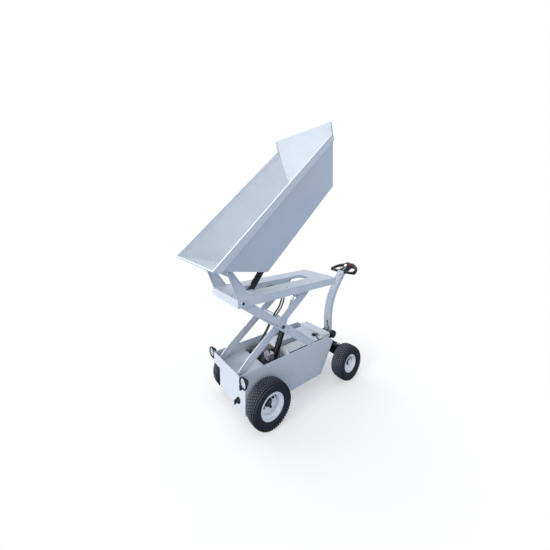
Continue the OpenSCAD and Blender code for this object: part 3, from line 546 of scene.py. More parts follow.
def lamp_glass(name, colour):
    """Clear lens plastic with upright flutes."""
    lens = Finish(name, colour, 0.14, Transmission_Weight=0.5, IOR=1.46)
    flutes = lens.add("TexWave", {"Vector": lens.place, "Scale": 38}, bands_direction="Y")
    lens.give(Roughness=lens.grey(lens.noise(30, 3), 0.12, 0.18, 0.3, 0.7))
    lens.bumped((flutes.outputs["Fac"], 0.5, 0.0012))


# ---- Sizes and colours that a user would change ----

class CartTyres(bpy.types.PropertyGroup):
    """Sizes of the turf tread"""
    tread_depth: FloatProperty(name="Tread depth", description="Height of a tread block above the casing",
                               default=0.0048, min=0.002, max=0.008, unit="LENGTH")
    block_rows: IntProperty(name="Block rows", description="Rows of tread blocks across a tyre",
                            default=7, min=5, max=8)
    blocks_round: IntProperty(name="Blocks round", description="Tread blocks in one row of a front tyre",
                              default=54, min=36, max=64)


class CartPaint(bpy.types.PropertyGroup):
    """Colours of the cart's finishes"""
    body: FloatVectorProperty(name="Body", description="Powder coat on the sheet metal and the arms",
                              subtype="COLOR", default=(0.62, 0.66, 0.71), min=0, max=1)
    black: FloatVectorProperty(name="Black parts", description="Paint on the cylinders, axles and fork",
                               subtype="COLOR", default=(0.005, 0.008, 0.015), min=0, max=1)
    rim: FloatVectorProperty(name="Rims", description="Paint on the rims",
                             subtype="COLOR", default=(0.90, 0.93, 0.97), min=0, max=1)
    tyre: FloatVectorProperty(name="Tyres", description="Rubber of the tyres",
                              subtype="COLOR", default=(0.007, 0.010, 0.017), min=0, max=1)
    button: FloatVectorProperty(name="Button", description="Safety button on the handle",
                                subtype="COLOR", default=(0.72, 0.03, 0.04), min=0, max=1)


class CartFasteners(bpy.types.PropertyGroup):
    """Sizes of the fasteners"""
    bolt: FloatProperty(name="Bolt", description="Width across the flats of a body bolt",
                        default=0.017, min=0.013, max=0.022, unit="LENGTH")
    nut: FloatProperty(name="Wheel nut", description="Width across the flats of a wheel nut",
                       default=0.019, min=0.015, max=0.022, unit="LENGTH")
    screw: FloatProperty(name="Screw", description="Head of a small cover screw",
                         default=0.012, min=0.008, max=0.016, unit="LENGTH")


class CartHoses(bpy.types.PropertyGroup):
    """Sizes of the hoses and cables"""
    hose: FloatProperty(name="Hose", description="Diameter of a hydraulic hose",
                        default=0.016, min=0.013, max=0.017, unit="LENGTH")
    cable: FloatProperty(name="Cable", description="Diameter of a control cable",
                         default=0.009, min=0.006, max=0.012, unit="LENGTH")


class CartStage(bpy.types.PropertyGroup):
    """Light of the stage"""
    key: FloatProperty(name="Key light", description="Strength of the soft light over the dumping end",
                       default=2.15, min=0.5, max=4.0)
    sky: FloatVectorProperty(name="Sky", description="Colour and level of the even light from all round",
                             subtype="COLOR", default=(0.70, 0.75, 0.83), min=0, max=1)
    bounce: FloatVectorProperty(name="Bounce", description="Colour of the light that the floor sends back up",
                                subtype="COLOR", default=(0.34, 0.41, 0.54), min=0, max=1)


# ---- Pieces ----

class CART_OT_finishes(bpy.types.Operator):
    """Makes the finishes, and gives each carried-over node its own"""
    bl_idname = "cart.finishes"
    bl_label = "Finishes"

    def execute(self, context):
        paint = context.scene.cart_paint
        powder_coat("grey_paint", tuple(paint.body))
        powder_coat("black_paint", tuple(paint.black), rough=0.38, peel=0.2, dust=0.05, gloss=0.3)
        powder_coat("rim", tuple(paint.rim), rough=0.36, peel=0.15, dust=0.25)
        rubber("tyre", tuple(paint.tyre))
        metal("plated_rod", (0.80, 0.81, 0.82), 0.10, (0.2, 0.2, 1))
        metal("roller", (0.46, 0.47, 0.49), 0.34, (1, 0.15, 1))
        metal("valve", (0.62, 0.63, 0.65), 0.30, (0.2, 1, 1))
        moulded("drive", (0.045, 0.047, 0.052), 0.52, grain=260, strength=0.6)
        moulded("battery", (0.09, 0.09, 0.10), 0.55, grain=700)
        moulded("tank", (0.10, 0.105, 0.11), 0.42, grain=380, strength=0.2)
        moulded("black_plastic", (0.007, 0.009, 0.014), 0.50)
        moulded("red_button", tuple(paint.button), 0.22, grain=500, strength=0.05, spread=0.05)
        lamp_glass("lens", (0.93, 0.96, 1.0))
        for part in frame["record"]["subparts"]:
            painted(frame["nodes"][part["node"]], part["material_slot"])
        return {"FINISHED"}


class CART_OT_edges(bpy.types.Operator):
    """Softens the sharp edges of the carried-over steel nodes, as folded and cut plate has them"""
    bl_idname = "cart.edges"
    bl_label = "Soft edges"

    soft = {"bucket_shell": 0.0018, "bucket_brackets": 0.001, "chassis_tub": 0.0018, "front_deck": 0.001,
            "battery_cover": 0.0014, "table_frame": 0.0014, "table_plate": 0.0014, "tip_posts": 0.0014,
            "tiller_arm": 0.0018, "inner_arms": 0.0014, "outer_arms": 0.0014, "steering_column": 0.0012,
            "axle_beam": 0.002, "knuckle_left": 0.0015, "knuckle_right": 0.0015, "tie_rod": 0.0014,
            "limit_switch": 0.002, "lift_barrel": 0.0012, "dump_barrel": 0.0012, "lift_rod": 0.001,
            "dump_rod": 0.001, "inner_cross_tubes": 0.001, "outer_cross_bar": 0.0012,
            "upper_rollers": 0.001, "lower_rollers": 0.001, "oil_tank": 0.004, "battery_block": 0.004,
            "drive_unit": 0.003, "pump_motor": 0.002, "valve_block": 0.0014, "roller_tracks": 0.0008,
            "tilt_hub": 0.002, "isolator_key": 0.0012, "handle_button": 0.003, "lamp_housings": 0.0016,
            "front_rim_left": 0.0008, "front_rim_right": 0.0008, "rear_rim_left": 0.0008,
            "rear_rim_right": 0.0008}

    def execute(self, context):
        for name, width in self.soft.items():
            node = frame["nodes"][name]
            only(node)
            if node.data.has_custom_normals:
                bpy.ops.mesh.customdata_custom_splitnormals_clear()
            node.data.polygons.foreach_set("use_smooth", [True] * len(node.data.polygons))
            weld = node.modifiers.new("Weld", "WELD")
            weld.merge_threshold = 0.00002
            bevel = node.modifiers.new("Bevel", "BEVEL")
            bevel.width = width
            bevel.segments = 2
            bevel.limit_method = "ANGLE"
            bevel.angle_limit = math.radians(40)
            bevel.miter_outer = "MITER_ARC"
            bevel.harden_normals = False
            even = node.modifiers.new("Even", "WEIGHTED_NORMAL")
            even.keep_sharp = True
            even.weight = 80
        clear_selection()
        return {"FINISHED"}


class CART_OT_tyres(bpy.types.Operator):
    """Builds the four turf tyres in place of the plain ones"""
    bl_idname = "cart.tyres"
    bl_label = "Tyres"

    root = 0.003   # how far a block reaches into the casing
    fill = 0.70    # share of a block's pitch that is rubber, across and round

    def tyre(self, name, node, rim_node, count, settings):
        """One tyre about the origin, its axle along +Z: casing, beads and rows of blocks."""
        low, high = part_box(node)
        r, w = (high.z - low.z) / 2, high.y - low.y
        rim_low, rim_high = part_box(rim_node)
        f = (rim_high.z - rim_low.z) / 2
        depth = settings.tread_depth
        half = [(f - 0.0118, 0.34 * w), (f + 0.002, 0.342 * w), (f + 0.005, 0.40 * w), (f + 0.010, 0.438 * w),
                (f + 0.016, 0.459 * w), (f + 0.019, 0.457 * w), (f + 0.022, 0.467 * w),
                (0.77 * r, 0.494 * w), (0.79 * r, 0.499 * w), (0.81 * r, 0.496 * w),
                (0.855 * r, 0.486 * w), (0.885 * r, 0.464 * w), (0.915 * r - 0.5 * depth, 0.432 * w),
                (0.963 * r - 0.9 * depth, 0.336 * w), (0.99 * r - depth, 0.22 * w), (r - depth, 0.10 * w)]
        casing = lathe(name, half + [(q, -h) for q, h in reversed(half)], steps=96)
        crown = [(0.0, r), (0.10 * w, r), (0.22 * w, 0.99 * r), (0.34 * w, 0.965 * r), (0.437 * w, 0.92 * r),
                 (0.487 * w, 0.86 * r)]
        legs = [math.hypot(b[0] - a[0], b[1] - a[1]) for a, b in zip(crown, crown[1:])]

        def on_crown(along):
            """Width, radius and slope at a distance along the crown from its middle."""
            half_side = 1 if along > 0 else -1
            left = abs(along)
            for (y0, r0), (y1, r1), leg in zip(crown, crown[1:], legs):
                if left <= leg:
                    t = left / leg
                    slope = math.atan2(r0 - r1, y1 - y0)
                    return (y0 + (y1 - y0) * t) * half_side, r0 + (r1 - r0) * t, slope * half_side
                left -= leg
            raise RuntimeError("a tread row lies beyond the shoulder")

        parts = [casing]
        rows = settings.block_rows
        pitch = 2 * 0.93 * sum(legs) / rows
        for k in range(rows):
            y, top, lean = on_crown((k - (rows - 1) / 2) * pitch)
            clear_selection()
            long = 2 * math.pi * top / count * self.fill
            bpy.ops.mesh.primitive_cube_add(size=1, scale=(depth + self.root, long, pitch * self.fill))
            lug = open_new(name + "_block")
            pick(lug, "FACE", lambda co, no: no.x > 0.9)
            bpy.ops.mesh.inset(thickness=0.0016)
            bpy.ops.transform.translate(value=(0.0010, 0, 0))
            clear_selection()
            # Marks the blocks' top faces, which the rubber paints paler: road wear and a painted highlight.
            wear_and_highlight = lug.data.attributes.new("wear_and_highlight", "FLOAT", "FACE")
            wear_and_highlight.data.foreach_set("value", [float(face.normal.x > 0.3) for face in lug.data.polygons])
            inward = (depth + self.root) / 2 + 0.0012
            settle(lug, Matrix.Rotation((k % 2) * math.pi / count, 4, "Z") @ turned(lean, (top, 0, y))
                   @ Matrix.Translation((-inward, 0, 0)))
            only(lug)
            bpy.ops.object.mode_set(mode="EDIT")
            bpy.ops.mesh.select_all(action="SELECT")
            bpy.ops.mesh.spin(steps=count - 1, dupli=True, angle=2 * math.pi * (count - 1) / count,
                              center=(0, 0, 0), axis=(0, 0, 1))
            clear_selection()
            parts.append(lug)
        return join(name, parts)

    def execute(self, context):
        settings = context.scene.cart_tyres
        for end, count in (("front", settings.blocks_round), ("rear", settings.blocks_round - 4)):
            model = self.tyre(f"{end}_tyre", f"{end}_tyre_left", f"{end}_rim_left", count, settings)
            places = [toward((0, 1, 0), middle(f"{end}_tyre_{side}")) for side, _ in SIDES]
            for (side, _), made in zip(SIDES, copies(model, places)):
                made.name = made.data.name = f"{end}_tyre_tread_{side}"
                dress(made, f"{end}_wheel_{side}", "tyre", angle=26)
                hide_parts(f"{end}_tyre_{side}")
        return {"FINISHED"}


class CART_OT_hubs(bpy.types.Operator):
    """Adds hubs, bearing caps, wheel nuts and valves to the rims"""
    bl_idname = "cart.hubs"
    bl_label = "Hubs and nuts"

    # Depths of disc and shaft end inside the tyre's side; radii of bore, hub, nut ring and valve ring;
    # the nuts' share of the set size, and how far they stand off the disc
    wheels = {"front": (0.0895, 0.072, 0.017, 0.039, 0.057, 0.082, 1, 0.003),
              "rear": (0.067, 0.060, 0.0135, 0.027, 0.0385, 0.061, 0.85, 0.0002)}

    def execute(self, context):
        across = context.scene.cart_fasteners.nut
        for end, (disc, shaft_end, bore, hub, ring, stem, share, lift) in self.wheels.items():
            reach = disc - shaft_end
            for side, sign in SIDES:
                low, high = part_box(f"{end}_tyre_{side}")
                axle = middle(f"{end}_rim_{side}")
                body = f"{end}_wheel_{side}"
                spot = Vector((axle.x, (high.y if sign > 0 else low.y) - sign * disc, axle.z))
                stand = toward((0, sign, 0), spot)
                flange = lathe(f"{end}_hub_{side}", [(bore, 0.0002), (hub, 0.0002), (hub, 0.007),
                                                     (hub * 0.94, 0.010), (hub * 0.80, 0.0115),
                                                     (hub * 0.76, reach + 0.0005), (bore, reach + 0.0005)],
                               stand)
                dress(flange, body, "black_paint")
                cap = lathe(f"{end}_bearing_cap_{side}",
                            [(0, reach + 0.0012), (hub * 0.62, reach + 0.0012), (hub * 0.64, reach + 0.003),
                             (hub * 0.64, reach + 0.006), (hub * 0.5, reach + 0.0095),
                             (hub * 0.2, reach + 0.0105), (0, reach + 0.0105)], stand)
                dress(cap, body, "drive")
                plug = lathe("plug", [(0, reach + 0.0100), (hub * 0.2, reach + 0.0100),
                                      (hub * 0.2, reach + 0.013), (hub * 0.12, reach + 0.015),
                                      (0, reach + 0.015)], stand, steps=20)
                nuts = copies(hex_bolt("nut", across * share, 0.010),
                              [round_axle(spot, sign, 26 + 90 * k) @ Matrix.Translation((ring, 0, lift))
                               for k in range(4)])
                dress(join(f"{end}_wheel_nuts_{side}", nuts + [plug]), body, "black_paint")
                valve = lathe(f"{end}_valve_{side}",
                              [(0, 0), (0.0055, 0), (0.0055, 0.004), (0.0038, 0.007), (0.0038, 0.020),
                               (0.0046, 0.0205), (0.0046, 0.030), (0.0034, 0.032), (0, 0.032)],
                              round_axle(spot, sign, 40) @ turned(math.radians(-14), (stem, 0, 0.011)),
                              steps=18)
                dress(valve, body, "black_plastic")
        return {"FINISHED"}


class CART_OT_lamps(bpy.types.Operator):
    """Adds lens, reflector, bezel screws, fins and bracket to both work lamps"""
    bl_idname = "cart.lamps"
    bl_label = "Work lamps"

    tub = 0.2368    # half width of the tub's side, where the strap is fixed
    foot = 0.2408   # outer face of the strap's foot

    def execute(self, context):
        low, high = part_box("lamp_housings")
        z, r = (low.z + high.z) / 2, (high.z - low.z) / 2
        back, front, hole = high.x - 0.026, high.x - 0.003, high.x - 0.014
        for side, sign in SIDES:
            y = sign * (high.y - r)
            stand = toward((1, 0, 0), (high.x, y, z))
            glass = lathe(f"lamp_glass_{side}",
                          [(0, -0.0031), (0.016, -0.0029), (0.030, -0.0036), (0.0385, -0.0050),
                           (0.0408, -0.0062), (0.0408, -0.0070), (0, -0.0070)], stand, steps=48)
            dress(glass, "chassis", "lens")
            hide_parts("lamp_lenses")
            bowl = lathe(f"lamp_reflector_{side}",
                         [(0, -0.0082), (0.004, -0.0076), (0.0055, -0.0084), (0.020, -0.0084),
                          (0.034, -0.0079), (0.0408, -0.0073), (0.0408, -0.0089), (0, -0.0089)],
                         stand, steps=48)
            dress(bowl, "chassis", "plated_rod")
            trim = lathe("bezel", [(0.0425, -0.0004), (0.0432, 0.0018), (0.0445, 0.0026), (0.0475, 0.0026),
                                   (0.0492, 0.0012), (0.0492, -0.0004)], stand, steps=64)
            screws = copies(socket_screw("bezel_screw", 0.0052, 0.0014), ring_of(stand, 4, 0.046, 0.0024, 45))
            fins = []
            for k, tall in enumerate((0.015, 0.020, 0.022, 0.020, 0.015)):
                fin = y - 0.016 + 0.008 * k
                fins.append(block("fin", (low.x - 0.005, fin - 0.0012, z - tall),
                                  (low.x + 0.008, fin + 0.0012, z + tall), edge=0.0006))
            strap = plate("strap", [(back, low.z - 0.005), (back, low.z + 0.001),
                                    (high.x - 0.012, low.z + 0.003), (front, low.z + 0.003),
                                    (front, low.z - 0.005)],
                          sign * self.tub, sign * (abs(y) + 0.016), edge=0.0012)
            near, far = sorted((sign * self.tub, sign * self.foot))
            foot = block("foot", (back, near, low.z - 0.045), (front, far, low.z + 0.002), edge=0.001)
            bolts = [settle(hex_bolt("lamp_bolt", 0.013, 0.006), place)
                     for place in (toward((0, 0, -1), (hole, y, low.z - 0.005)),
                                   on_side(sign, hole, self.foot, low.z - 0.028))]
            parts = [trim, strap, foot] + bolts + screws + fins
            dress(join(f"lamp_trim_{side}", parts), "chassis", "black_plastic")
        return {"FINISHED"}


class CART_OT_power_unit(bpy.types.Operator):
    """Adds fittings, coils, studs and caps to the pump, the valve block, the tank and the batteries"""
    bl_idname = "cart.power_unit"
    bl_label = "Power unit"

    def fitting(self, name, across, height):
        """A hexagon fitting with a collar and a stub, standing on the origin."""
        clear_selection()
        bpy.ops.mesh.primitive_cylinder_add(vertices=6, radius=across / math.sqrt(3), depth=height,
                                            location=(0, 0, height / 2))
        obj = open_new(name)
        pick(obj, "FACE", lambda co, no: abs(no.z) > 0.9)
        bpy.ops.mesh.bevel(offset=across * 0.06, segments=2, affect="EDGES")
        settle(obj)
        stub = lathe(name + "_stub", [(0, height * 0.9), (across * 0.42, height * 0.9),
                                      (across * 0.42, height * 1.25), (across * 0.34, height * 1.3),
                                      (across * 0.34, height * 1.7), (0, height * 1.7)], steps=20)
        return join(name, [obj, stub])

    def valve(self):
        """Fittings, plugs, coils and a knob on the valve block."""
        low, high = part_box("valve_block")
        cx, cy = (low.x + high.x) / 2, (low.y + high.y) / 2
        up, ahead, astern, right = (0, 0, 1), (1, 0, 0), (-1, 0, 0), (0, -1, 0)
        fittings = copies(self.fitting("fitting", 0.019, 0.010),
                          [toward(up, (cx + 0.018, cy + 0.016, high.z)),
                           toward(up, (cx + 0.018, cy - 0.018, high.z)),
                           toward(ahead, (high.x, cy - 0.017, low.z + 0.020)),
                           toward(ahead, (high.x, cy + 0.017, low.z + 0.042)),
                           toward(astern, (low.x, cy, low.z + 0.030))])
        plugs = copies(self.fitting("plug", 0.013, 0.006),
                       [toward(ahead, (high.x, cy + 0.017, low.z + 0.016)),
                        toward(ahead, (high.x, cy - 0.018, low.z + 0.046)),
                        toward(right, (cx + 0.020, low.y, low.z + 0.046))])
        proud = 0.0008
        seams = [block("seam", (low.x - proud, low.y - proud, low.z + h - 0.001),
                       (high.x + proud, high.y + proud, low.z + h + 0.001), edge=0.0004)
                 for h in (0.005, 0.055)]
        dress(join("valve_fittings", fittings + plugs + seams), "chassis", "valve")
        knob = lathe("knob", [(0, 0), (0.006, 0), (0.006, 0.006), (0.0125, 0.008), (0.0135, 0.011),
                              (0.0135, 0.019), (0.0120, 0.022), (0, 0.022)],
                     toward(up, (cx - 0.016, cy - 0.016, high.z)), steps=24)
        coils = []
        for rise, x0, x1, z0, z1 in ((0.016, -0.034, -0.020, -0.008, 0.008),
                                     (0.042, -0.021, -0.003, -0.006, 0.017)):
            z = low.z + rise
            coils.append(lathe("coil", [(0, 0), (0.0145, 0), (0.0155, 0.002), (0.0155, 0.022),
                                        (0.0140, 0.025), (0.006, 0.025), (0.006, 0.030), (0, 0.030)],
                               toward(right, (cx - 0.012, low.y, z)), steps=28))
            coils.append(block("coil_plug", (cx + x0, low.y - 0.022, z + z0),
                               (cx + x1, low.y - 0.004, z + z1), edge=0.0016))
        dress(join("valve_coils", coils + [knob]), "chassis", "black_plastic")

    def pump(self):
        """A clamp ring, a flange, screws and studs on the pump's motor."""
        low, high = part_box("pump_motor")
        cx, cy = (low.x + high.x) / 2, (low.y + high.y) / 2
        bell = lathe("bell", [(0.0542, 0.345), (0.0562, 0.347), (0.0562, 0.352), (0.0548, 0.354),
                              (0.0548, 0.366), (0.0562, 0.368), (0.0562, 0.375), (0.0542, 0.377)],
                     Matrix.Translation((cx, cy, 0)), steps=56)
        screws = copies(socket_screw("head_screw", 0.013, 0.007),
                        [Matrix.Translation((cx + x, cy + y, high.z)) for x in (-0.047, 0.047)
                         for y in (-0.045, 0.045)])
        x0, x1, z0, z1 = low.x - 0.0004, high.x + 0.0012, high.z - 0.014, high.z - 0.009
        flange = plate("flange", [(x0, z0), (x0, z1), (x1, z1), (x1, z0)], low.y - 0.0010, high.y + 0.0010,
                       edge=0.0008)
        studs = copies(self.fitting("stud", 0.013, 0.006),
                       [Matrix.Translation((cx - 0.047, cy + y, high.z)) for y in (-0.016, 0.016)])
        dress(join("pump_trim", [bell, flange] + screws + studs), "chassis", "black_paint")

    def tank(self):
        """The filler's neck and ribbed cap, the lid's weld and a bolt on the oil tank."""
        low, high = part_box("oil_tank")
        cap_at = Matrix.Translation((high.x - 0.045, (low.y + high.y) / 2 + 0.028, high.z))
        neck = lathe("neck", [(0, 0), (0.024, 0), (0.024, 0.004), (0.019, 0.006), (0.019, 0.012),
                              (0, 0.012)], cap_at)
        bolt = settle(hex_bolt("tank_bolt", 0.010, 0.004),
                      Matrix.Translation((low.x + 0.02, high.y - 0.02, high.z)))
        lid = high.z - 0.006
        lid_weld = weld_line("lid_weld", [(low.x, low.y, lid), (high.x, low.y, lid), (high.x, high.y, lid),
                                          (low.x, high.y, lid), (low.x, low.y, lid)], 0.0024)
        dress(join("tank_trim", [neck, lid_weld, bolt]), "chassis", "tank")
        clear_selection()
        bpy.ops.mesh.primitive_cylinder_add(vertices=24, radius=0.022, depth=0.016, location=(0, 0, 0.020))
        cap = open_new("tank_cap")
        pick(cap, "FACE", lambda co, no: abs(no.z) < 0.2
             and round(math.atan2(co.y, co.x) * 12 / math.pi) % 2 == 0)
        bpy.ops.mesh.inset(thickness=0.0008, use_individual=True)
        bpy.ops.transform.resize(value=(0.94, 0.94, 1), center_override=(0, 0, 0.02))
        pick(cap, "FACE", lambda co, no: no.z > 0.9)
        bpy.ops.mesh.inset(thickness=0.003)
        bpy.ops.transform.translate(value=(0, 0, 0.002))
        settle(cap, cap_at)
        dress(cap, "chassis", "black_plastic")

    def batteries(self):
        """Four hand grips on the battery block."""
        low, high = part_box("battery_block")
        grips = []
        for sign in SIGNS:
            near, far = sorted((sign * (high.y - 0.016), sign * (high.y - 0.104)))
            for share in (0.3, 0.7):
                x = low.x + (high.x - low.x) * share
                grips.append(block("grip", (x - 0.012, near, high.z - 0.002),
                                   (x + 0.012, far, high.z + 0.006)))
        dress(join("battery_grips", grips), "chassis", "battery")

    def drive(self):
        """Ribs and end bosses on the drive unit."""
        low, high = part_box("drive_unit")
        ribs = [block("rib", at(0.032 * k - 0.080, -0.112, low.z + 0.03),
                      at(0.032 * k - 0.072, 0.112, high.z + 0.003), edge=0.0015) for k in range(6)]
        bosses = [lathe("boss", [(0.017, 0), (0.048, 0), (0.048, 0.004), (0.040, 0.010), (0.026, 0.016),
                                 (0.017, 0.016)],
                        on_side(sign, AXLE, 0.110, middle("front_rim_left").z)) for sign in SIGNS]
        dress(join("drive_ribs", ribs + bosses), "chassis", "drive")

    def execute(self, context):
        self.valve()
        self.pump()
        self.tank()
        self.batteries()
        self.drive()
        return {"FINISHED"}


class CART_OT_chassis_trim(bpy.types.Operator):
    """Adds screws, bolts, socket covers and the switch's lever to the tub, deck and covers"""
    bl_idname = "cart.chassis_trim"
    bl_label = "Chassis trim"

    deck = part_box("front_deck")[0].z + 0.004   # the front deck's floor

    def screws(self, across):
        """Screws that hold the front deck, the battery lid and the control box's lid."""
        deck, lid, box_lid = self.deck, COVER - 0.0003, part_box("battery_cover")[1].z  # heights they stand on
        rows = ((deck, 0.225, (0, 0.095, -0.095)), (deck, -0.085, (0.10, -0.10, 0.20, -0.20)),
                (deck, 0.10, (0.215, -0.215)), (lid, -0.372, (0.060, -0.060, 0.155, -0.155)),
                (lid, -0.54, (0.060, -0.060, 0.155, -0.155)), (lid, -0.715, (0.155, -0.155)),
                (box_lid, -0.875, (0.165, -0.165)), (box_lid, -0.950, (0.165, -0.165)))
        made = copies(socket_screw("cover_screw", across, 0.0045),
                      [Matrix.Translation(at(x, y, z)) for z, x, across_y in rows for y in across_y])
        dress(join("cover_screws", made), "chassis", "roller")

    def tub(self, across):
        """Bolts on the tub's sides, and the welds of its floor and of the lift pins' ears."""
        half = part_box("chassis_tub")[1].y
        spots = ((0.212, 0.430), (0.212, 0.478), (-0.060, 0.470), (-0.905, 0.455))
        bolts = copies(hex_bolt("side_bolt", across * 0.76, 0.005),
                       [on_side(sign, AXLE + x, half, z) for sign in SIGNS for x, z in spots])
        dress(join("tub_bolts", bolts), "chassis", "grey_paint")
        welds = []
        for sign in SIGNS:
            y, z = sign * (half - 0.0046), 0.1245
            welds.append(weld_line("floor_weld", [at(0.182, y, z), at(-0.755, y, z)], 0.0022))
            for x in (0.179, 0.235):
                welds.append(weld_line("ear_weld", [at(x, sign * 0.1435, self.deck),
                                                    at(x, sign * 0.1495, self.deck)], 0.0022))
        dress(join("tub_welds", welds), "chassis", "grey_paint")

    def switch(self):
        """The charging socket's cover on the rear, and the limit switch's gland and lever."""
        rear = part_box("battery_cover")[0].x
        cover = lathe("charge_cover", [(0, 0), (0.0195, 0), (0.0195, 0.003), (0.0175, 0.0045),
                                       (0.0165, 0.009), (0.0140, 0.0105), (0, 0.0105)],
                      toward((-1, 0, 0), (rear, -0.110, 0.4735)), steps=32)
        hinge = block("charge_hinge", (rear - 0.008, -0.121, 0.4900), (rear, -0.099, 0.4955), edge=0.0012)
        low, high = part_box("limit_switch")
        gland = lathe("gland", [(0, 0), (0.008, 0), (0.008, 0.006), (0.0062, 0.008), (0.0062, 0.013),
                                (0, 0.013)],
                      toward((1, 0, 0), (high.x, (low.y + high.y) / 2, (low.z + high.z) / 2)), steps=20)
        lever = plate("lever", [(low.x + 0.006, low.z + 0.003), (low.x + 0.004, low.z + 0.009),
                                (low.x - 0.016, low.z + 0.013), (low.x - 0.019, low.z + 0.008)],
                      high.y, high.y + 0.003, edge=0.0008)
        wheel = lathe("lever_wheel", [(0, 0), (0.0075, 0), (0.0075, 0.006), (0, 0.006)],
                      toward((0, 1, 0), (low.x - 0.016, high.y - 0.006, low.z + 0.0100)), steps=24)
        dress(join("switch_parts", [cover, hinge, gland, lever, wheel]), "chassis", "black_plastic")

    def key(self):
        """A collar and two screws on the isolator."""
        low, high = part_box("isolator_key")
        stand = toward((1, 0, 0), (low.x + 0.014, (low.y + high.y) / 2, (low.z + high.z) / 2))
        screws = copies(socket_screw("key_screw", 0.006, 0.002), ring_of(stand, 2, 0.0215))
        collar = lathe("key_collar", [(0.0132, 0), (0.0175, 0), (0.0175, 0.005), (0.0155, 0.007),
                                      (0.0132, 0.007)], stand)
        dress(join("key_trim", screws + [collar]), "chassis", "black_plastic")

    def execute(self, context):
        sizes = context.scene.cart_fasteners
        self.screws(sizes.screw)
        self.tub(sizes.bolt)
        self.switch()
        self.key()
        return {"FINISHED"}


class CART_OT_steering(bpy.types.Operator):
    """Adds nuts, caps, grease nipples and bolts to the steering"""
    bl_idname = "cart.steering"
    bl_label = "Steering"

    def execute(self, context):
        rod_low, rod_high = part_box("tie_rod")
        rod_x = pin("tie_rod_swing").x
        knuckle = {side: pin(f"knuckle_{side}_turn") for side, _ in SIDES}
        ends_y = [spot.y for spot in knuckle.values()]
        nuts = copies(hex_bolt("rod_nut", 0.019, 0.007),
                      [Matrix.Translation((rod_x, y, rod_high.z - 0.0032)) for y in [0] + ends_y])
        ball = lathe("rod_end", [(0, 0), (0.013, 0), (0.016, -0.004), (0.016, -0.010), (0.012, -0.014),
                                 (0, -0.014)])
        balls = copies(ball, [Matrix.Translation((rod_x, y, rod_low.z + 0.0005)) for y in ends_y])
        dress(join("tie_rod_ends", nuts + balls), "tie_rod", "black_paint")
        for side, spot in knuckle.items():
            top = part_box(f"knuckle_{side}")[1].z - 0.0014
            cap = pin_head(f"kingpin_cap_{side}", 0.0195, 0.010, Matrix.Translation((spot.x, spot.y, top)))
            dress(cap, f"knuckle_{side}", "roller")

        beam_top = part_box("axle_beam")[1].z
        bolts = copies(hex_bolt("beam_bolt", context.scene.cart_fasteners.bolt, 0.007),
                       [toward((-1, 0, 0), (REAR - 0.040, y, z)) for y in (-0.115, -0.075, 0.075, 0.115)
                        for z in (0.252, 0.305)])
        seat = lathe("seat", [(0.027, 0), (0.037, 0), (0.036, 0.0012), (0.030, 0.0018), (0.027, 0.0012)],
                     Matrix.Translation((REAR, 0, beam_top)))
        dress(join("beam_bolts", bolts + [seat]), "chassis", "black_paint")

        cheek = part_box("steering_column")[1].y
        fork_top = beam_top + 0.015
        bolts = copies(hex_bolt("fork_bolt", 0.015, 0.006),
                       [Matrix.Translation((REAR + x, y, fork_top)) for x in (-0.018, 0.018)
                        for y in (-0.036, 0.036)])
        tilt = pin("tiller_tilt")
        rings = [ring_weld("cheek_weld", 0.026, on_side(sign, tilt.x, cheek + 0.0002, tilt.z), 0.0016)
                 for sign in SIGNS]
        seams = [weld_line("cheek_seam", [(REAR - 0.034, sign * (cheek - 0.0102), fork_top),
                                          (REAR - 0.002, sign * (cheek - 0.0102), fork_top)], 0.0024)
                 for sign in SIGNS]
        dress(join("fork_bolts", bolts + rings + seams), "steering_column", "black_paint")
        return {"FINISHED"}


class CART_OT_tiller(bpy.types.Operator):
    """Adds the tilt cover, the pin's end, bolts and a lid to the tiller"""
    bl_idname = "cart.tiller"
    bl_label = "Tiller"

    def execute(self, context):
        low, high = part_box("tilt_hub")
        tilt = pin("tiller_tilt")
        face = toward((0, 1, 0), (tilt.x, high.y, tilt.z))
        cover = lathe("tilt_cover", [(0, -0.0005), (0.043, -0.0005), (0.0435, 0.0010), (0.042, 0.0024),
                                     (0.033, 0.0034), (0.0315, 0.0022), (0.017, 0.0022), (0.015, 0.0045),
                                     (0.006, 0.0055), (0, 0.0055)], face, steps=56)
        screws = copies(socket_screw("tilt_screw", 0.0065, 0.0022), ring_of(face, 6, 0.0375, 0.0018, 30))
        dress(join("tilt_cover", [cover] + screws), "tiller", "black_plastic")
        end = pin_head("tilt_pin_end", 0.0155, 0.008, toward((0, -1, 0), (tilt.x, low.y, tilt.z)))
        dress(end, "tiller", "roller")

        skin = 0.025    # half the arm's depth
        cheek = 0.0425  # half the yoke's width
        root = IN_HANDLE.translation
        lean = math.radians(38)
        up = Vector((-math.sin(lean), 0, math.cos(lean)))
        front = Vector((math.cos(lean), 0, math.sin(lean)))
        bolts = copies(hex_bolt("tiller_bolt", 0.014, 0.005),
                       [toward(front, root - up * 0.062 + front * skin)]
                       + [toward((0, sign, 0), root - up * 0.090 + Vector((0, sign * cheek, 0)))
                          for sign in SIGNS])
        dress(join("tiller_bolts", bolts), "tiller", "roller")
        back = tilt.x - skin
        lid = block("lid", (back - 0.0016, -0.030, 0.46), (back + 0.0006, 0.030, 0.55), edge=0.0007)
        screws = copies(socket_screw("lid_screw", 0.007, 0.002),
                        [toward((-1, 0, 0), (back - 0.0016, y, z)) for y in (-0.023, 0.023)
                         for z in (0.468, 0.542)])
        dress(join("tiller_lid", [lid] + screws), "tiller", "grey_paint")
        return {"FINISHED"}


